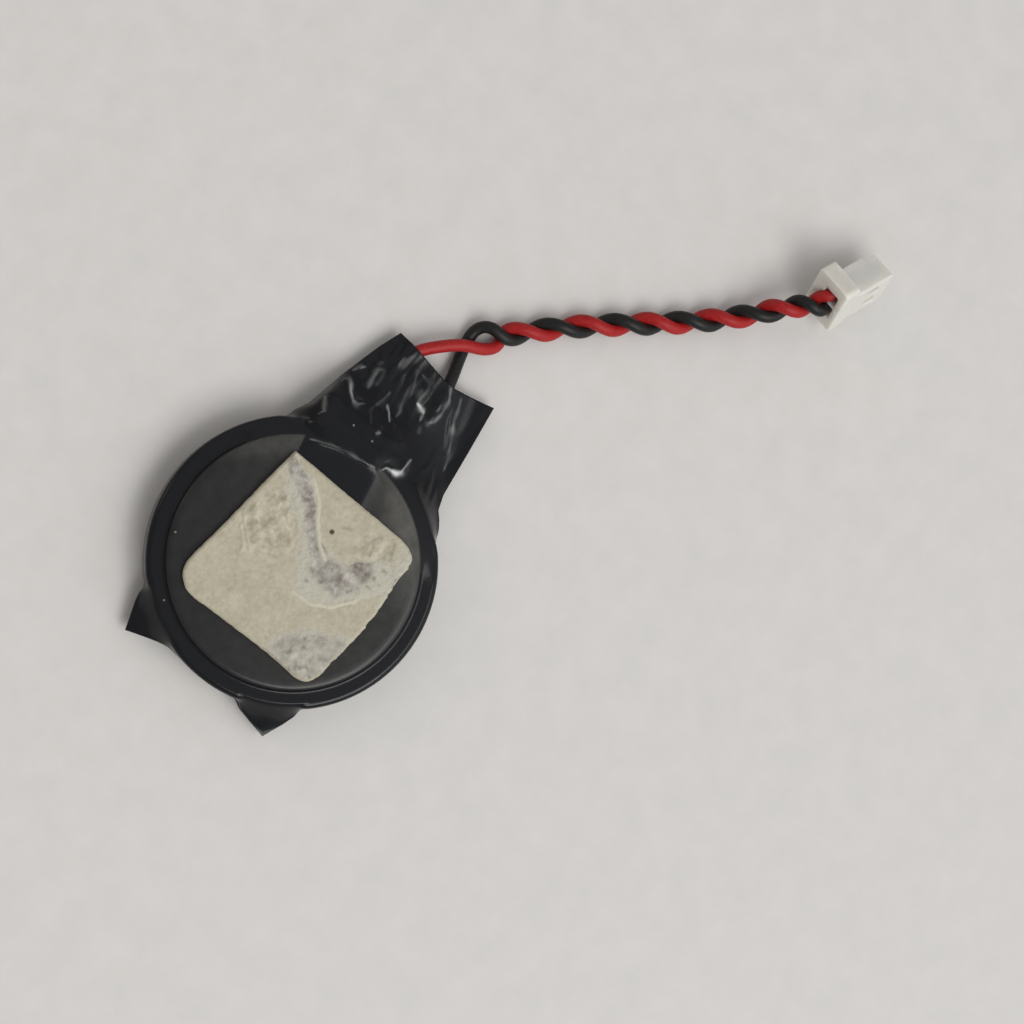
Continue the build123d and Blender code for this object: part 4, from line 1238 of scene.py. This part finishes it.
# %% Liner rags
rag_step = 0.09
rag_thickness, fibre_lumps = 0.06, 0.09
border_dip = 0.012  # how far below the foam's face a rag's thickness starts at its border
curl_height, curl_half_width = 0.13, 0.17
thinnest = -0.035  # below this a rag has ended
from_rim = 0.02  # no fibres hang over the foam's own edge
sunk = 0.06  # how deep a rag's underside sits in the foam
torn_band = [
    (6.2, 5.2), (4.7, 4.5), (2.9, 3.1), (1.7, 0.8), (-0.2, -0.05), (-1.7, -1.2), (-1.5, -3.0), (0.3, -5.0),
    (3.4, -6.9), (3.9, -5.2), (2.0, -2.6), (2.05, -0.9), (4.9, 2.05),
]
torn_corner = [(-6.9, -1.5), (-4.8, -1.95), (-3.2, -3.3), (-2.2, -5.3), (-1.9, -7.0), (-7.4, -7.2)]
torn_edge = [
    (6.1, -5.3), (5.2, -5.3), (3.8, -5.5), (2.2, -6.0), (0.8, -6.4), (0.8, -7.0), (3.8, -7.2), (6.1, -6.7),
]
curled_edges = [
    [(5.3, 2.6), (4.3, 1.3), (3.2, 0.6), (1.9, -0.6), (1.35, -1.5)],
    [(-1.75, -1.0), (-1.7, -2.5), (-1.0, -3.8), (0.4, -4.9)],
]


def inside_by(polygon, x, y):
    """Distance of places inside a polygon from its border; negative outside."""
    inside = np.zeros(len(x), bool)
    loop = [*polygon, polygon[0]]
    for (ax, ay), (bx, by) in zip(loop, loop[1:]):
        crosses = (ay > y) != (by > y)
        with np.errstate(divide="ignore", invalid="ignore"):
            where_x = (bx - ax) * (y - ay) / (by - ay) + ax
        inside ^= crosses & (x < where_x)
    return np.where(inside, 1, -1) * away_from(loop, x, y)


rag_x = np.arange(-6.6, 6.4, rag_step)
rag_y = np.arange(-6.9, 5.4, rag_step)
RX, RY = (g.ravel() for g in np.meshgrid(rag_x, rag_y, indexing="ij"))
border = np.maximum(inside_by(torn_band, RX, RY), inside_by(torn_corner, RX, RY))
border = np.maximum(border, inside_by(torn_edge, RX, RY))
border = border + 0.45 * surface_noise(RX, RY, 0.8, 21.0)
fibres = surface_noise(RX, RY, 0.32, 31.0)
rag = rag_thickness * ease(border, -0.15, 0.35) - border_dip
rag = rag + fibre_lumps * fibres * ease(border, -0.1, 0.2)
for curled in curled_edges:
    wander = away_from(curled, RX, RY) + 0.08 * surface_noise(RX, RY, 0.6, 41.0)
    rag = np.maximum(rag, curl_height * np.clip(1 - wander / curl_half_width, -0.3, 1) - 0.01)
out_x, out_y = RX - pad_middle[0], RY - pad_middle[1]
rim_there = np.interp(np.arctan2(out_y, out_x), pad_turns, pad_reach, period=2 * math.pi)
inward = rim_there - np.hypot(out_x, out_y)
shape = (len(rag_x), len(rag_y))
foam_there = pad_top(RX, RY, np.maximum(inward, 0))
rag_top = (foam_there + rag).reshape(shape)
rag_under = (foam_there - sunk).reshape(shape)
kept = ((rag > thinnest) & (inward > from_rim)).reshape(shape)
cells = kept[:-1, :-1] & kept[1:, :-1] & kept[:-1, 1:] & kept[1:, 1:]


def plate_from_cells(cells, top, under):
    """A closed thin plate over the chosen grid cells: top, underside and a wall round every border."""
    number, vertices, faces = {}, [], []

    def corner(i, j, level):
        key = (i, j, level)
        if key not in number:
            number[key] = len(vertices)
            vertices.append((rag_x[i], rag_y[j], (top if level else under)[i, j]))
        return number[key]

    for i, j in np.argwhere(cells):
        ring = [(i, j), (i + 1, j), (i + 1, j + 1), (i, j + 1)]
        faces.append([corner(*c, 1) for c in ring])
        faces.append([corner(*c, 0) for c in reversed(ring)])
        for (a, b), (di, dj) in zip(zip(ring, ring[1:] + ring[:1]), ((0, -1), (1, 0), (0, 1), (-1, 0))):
            ni, nj = i + di, j + dj
            if not (0 <= ni < cells.shape[0] and 0 <= nj < cells.shape[1] and cells[ni, nj]):
                faces.append([corner(*a, 0), corner(*b, 0), corner(*b, 1), corner(*a, 1)])
    return np.array(vertices), faces, np.array(list(number))


rag_vertices, rag_faces, rag_places = plate_from_cells(cells, rag_top, rag_under)
print("liner rag faces:", len(rag_faces))

# %% [markdown]
# ## Liner finish
# The fibres are a mottled grey where they lie thick and almost the foam's own cream where they lie
# thin. A mask says how thick they cover, and it also carries painted shade beside the band's long ridge
# and in its lower bend. One more mask holds small dark spots, and one a painted highlight on the raised
# edges.

# %% Liner material
liner_paper, tree, shader = new_finish("liner_fibres", roughness=0.9, ior=1.4)
mottle = place_group(tree, grain_group, Size_mm=0.8, Detail=3.0)["Tone"]
thick = mixed(tree, mottle, linear(118, 111, 103), linear(198, 193, 182))
# Thick fibres are greyer; the cover mask also carries painted shade beside the long ridge.
colour = mixed(tree, stored_mask(tree, "cover_and_shade"), linear(191, 187, 171), thick)
# Painted highlight along the raised, curled edges.
colour = mixed(tree, stored_mask(tree, "raised_edge_highlight"), colour, linear(203, 197, 178))
colour = mixed(tree, stored_mask(tree, "dark_spots"), colour, linear(98, 92, 92))
tree.links.new(colour, shader.inputs["Base Color"])
add_bump(tree, place_group(tree, grain_group, Size_mm=0.15, Detail=7.0)["Height"], shader, 0.08)
liner = add_piece("liner_rags", rag_vertices, rag_faces, liner_paper)

# %% Cover with painted shade, dark spots and painted highlights on the raised edges
# The torn band is darkest along its long ridge and in its lower bend: painted shade on the fibres
# beside that ridge. The torn corner is only a pale haze.
dark_line = [(5.24, 4.14), (4.57, 2.75), (3.9, 1.7), (2.98, 0.63), (2.08, -0.24), (1.3, -1.0)]
dark_bend = [(0.7, -1.6), (0.8, -2.4), (0.6, -3.3), (1.3, -3.7), (2.3, -3.9)]
near_dark = np.minimum(away_from(dark_line, RX, RY) / 0.5, away_from(dark_bend, RX, RY) / 0.75)
corner_part = 0.6 * ease(inside_by(torn_corner, RX, RY), 0.0, 0.6)
cover_and_shade = np.maximum(1 - ease(near_dark + 0.5 * surface_noise(RX, RY, 0.5, 51.0), 0.7, 1.6), corner_part)
cover_and_shade = cover_and_shade * ease(border, 0.0, 0.25)
# Small dark spots in the thick fibres.
dark_spots = 0.5 * ease(surface_noise(RX, RY, 0.55, 61.0), 0.24, 0.4) * ease(border, 0.2, 0.6)
for name, on_grid in (("cover_and_shade", cover_and_shade), ("dark_spots", dark_spots)):
    store_mask(liner, name, on_grid.reshape(shape)[rag_places[:, 0], rag_places[:, 1]])
raised_edge_highlight = np.zeros(len(rag_vertices))
# Painted highlight along the curled edges.
for curled in curled_edges:
    raised_edge_highlight = np.maximum(raised_edge_highlight, 1 - ease(away_from(curled, *rag_vertices[:, :2].T), 0.06, 0.22))
store_mask(liner, "raised_edge_highlight", raised_edge_highlight)
print("liner points under thick fibres:", int((cover_and_shade > 0.5).sum()))
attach(liner, "root")
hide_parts("torn_liner")

# %% [markdown]
# ## Finishes for the parts that come straight from the CAD
# The terminals, the cell and everything under the film keep their CAD solids and get a finish each.

# %% Dress the CAD parts
dressed = {
    "nickel_plate": ("positive_can", "negative_cap", "cathode_ring", "negative_tab", "positive_tab"),
    "gasket_nylon": ("sealing_gasket",),
    "lithium_metal": ("lithium_anode",),
    "separator_card": ("separator",),
    "cathode_powder": ("cathode_pellet",),
    "amber_tape": ("tab_insulation_tape",),
    "tinned_copper": ("red_bare_strands", "black_bare_strands", "red_plug_strands", "black_plug_strands"),
    "bright_solder": ("red_solder_joint", "black_solder_joint"),
    "tin_plate": ("crimp_terminal_red", "crimp_terminal_black"),
}
for finish, nodes in dressed.items():
    for node in nodes:
        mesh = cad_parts[node].data
        mesh.materials.clear()
        mesh.materials.append(finishes[finish])
print("dressed CAD parts:", sum(len(nodes) for nodes in dressed.values()))

# %% [markdown]
# ## Table and light
# The table is a plain pale surface. Light comes from two window-like panels on one side, which draw the
# soft shadows and the bright streaks on the film's folds. A weaker panel and a weak warm lamp on the
# other side keep the shadows pale.

# %% Table
table_half = 1.2  # in metres
corners = np.array([(-1, -1, 0), (1, -1, 0), (1, 1, 0), (-1, 1, 0)]) * table_half / MM
table = add_piece("table", corners, [(0, 1, 2, 3)], finishes["table_paint"], smooth=False)
print("table side in m:", 2 * table_half)

# %% Lamps
lamp_aim = Vector((8, -5, 0))
daylight, warm_light = (1.0, 0.99, 0.975), (1.0, 0.62, 0.38)


def add_panel(name, bearing, height, distance_mm, size_mm, power, colour):
    """A square light panel facing the battery. Bearing is measured from +X towards +Y, in degrees."""
    lamp = bpy.data.lights.new(name, "AREA")
    lamp.shape = "SQUARE"
    lamp.size = size_mm * MM
    lamp.energy = power
    lamp.color = colour
    holder = bpy.data.objects.new(name, lamp)
    bpy.context.scene.collection.objects.link(holder)
    a, e = math.radians(bearing), math.radians(height)
    towards = Vector((math.cos(a) * math.cos(e), math.sin(a) * math.cos(e), math.sin(e)))
    holder.location = lamp_aim * MM + towards * distance_mm * MM
    holder.rotation_mode = "QUATERNION"
    holder.rotation_quaternion = towards.to_track_quat("Z", "Y")
    print(name, "at a height of", round(holder.location.z / MM), "mm")


add_panel("left_window", -120, 55, 1000, 560, 4.55, daylight)
add_panel("right_window", -75, 66, 1000, 300, 0.8, daylight)
add_panel("back_window", 40, 50, 1000, 900, 0.55, daylight)
add_panel("warm_lamp", 95, 30, 600, 120, 0.14, warm_light)

# %% [markdown]
# ## The room
# The rest of the light is the room itself: pale walls, brightest on the window's side. The world's
# strength follows the direction, with a wide soft lobe round the window and a faint even level
# everywhere else.

# %% Room light
window_way = (0.1, -0.77, 0.63)
least_facing = 0.5
lobe_power, lobe_strength, even_strength = 4.0, 0.85, 0.3
room = bpy.data.worlds.new("room")
bpy.context.scene.world = room
room.use_nodes = True
tree = room.node_tree
looking = place(tree, "ShaderNodeTexCoord").outputs["Generated"]
facing = place(tree, "ShaderNodeVectorMath", {"operation": "DOT_PRODUCT"})
feed(tree, facing.inputs[0], looking)
feed(tree, facing.inputs[1], window_way)
front = computed(tree, "MAXIMUM", facing.outputs["Value"], least_facing)
lobe = computed(tree, "POWER", front, lobe_power)
level = computed(tree, "MULTIPLY_ADD", lobe, lobe_strength, even_strength)
background = tree.nodes["Background"].inputs
background["Color"].default_value = (0.93, 0.94, 0.96, 1.0)
feed(tree, background["Strength"], level)
print("least room strength:", round(least_facing**lobe_power * lobe_strength + even_strength, 2))

bpy.context.scene.view_settings.view_transform = "Standard"
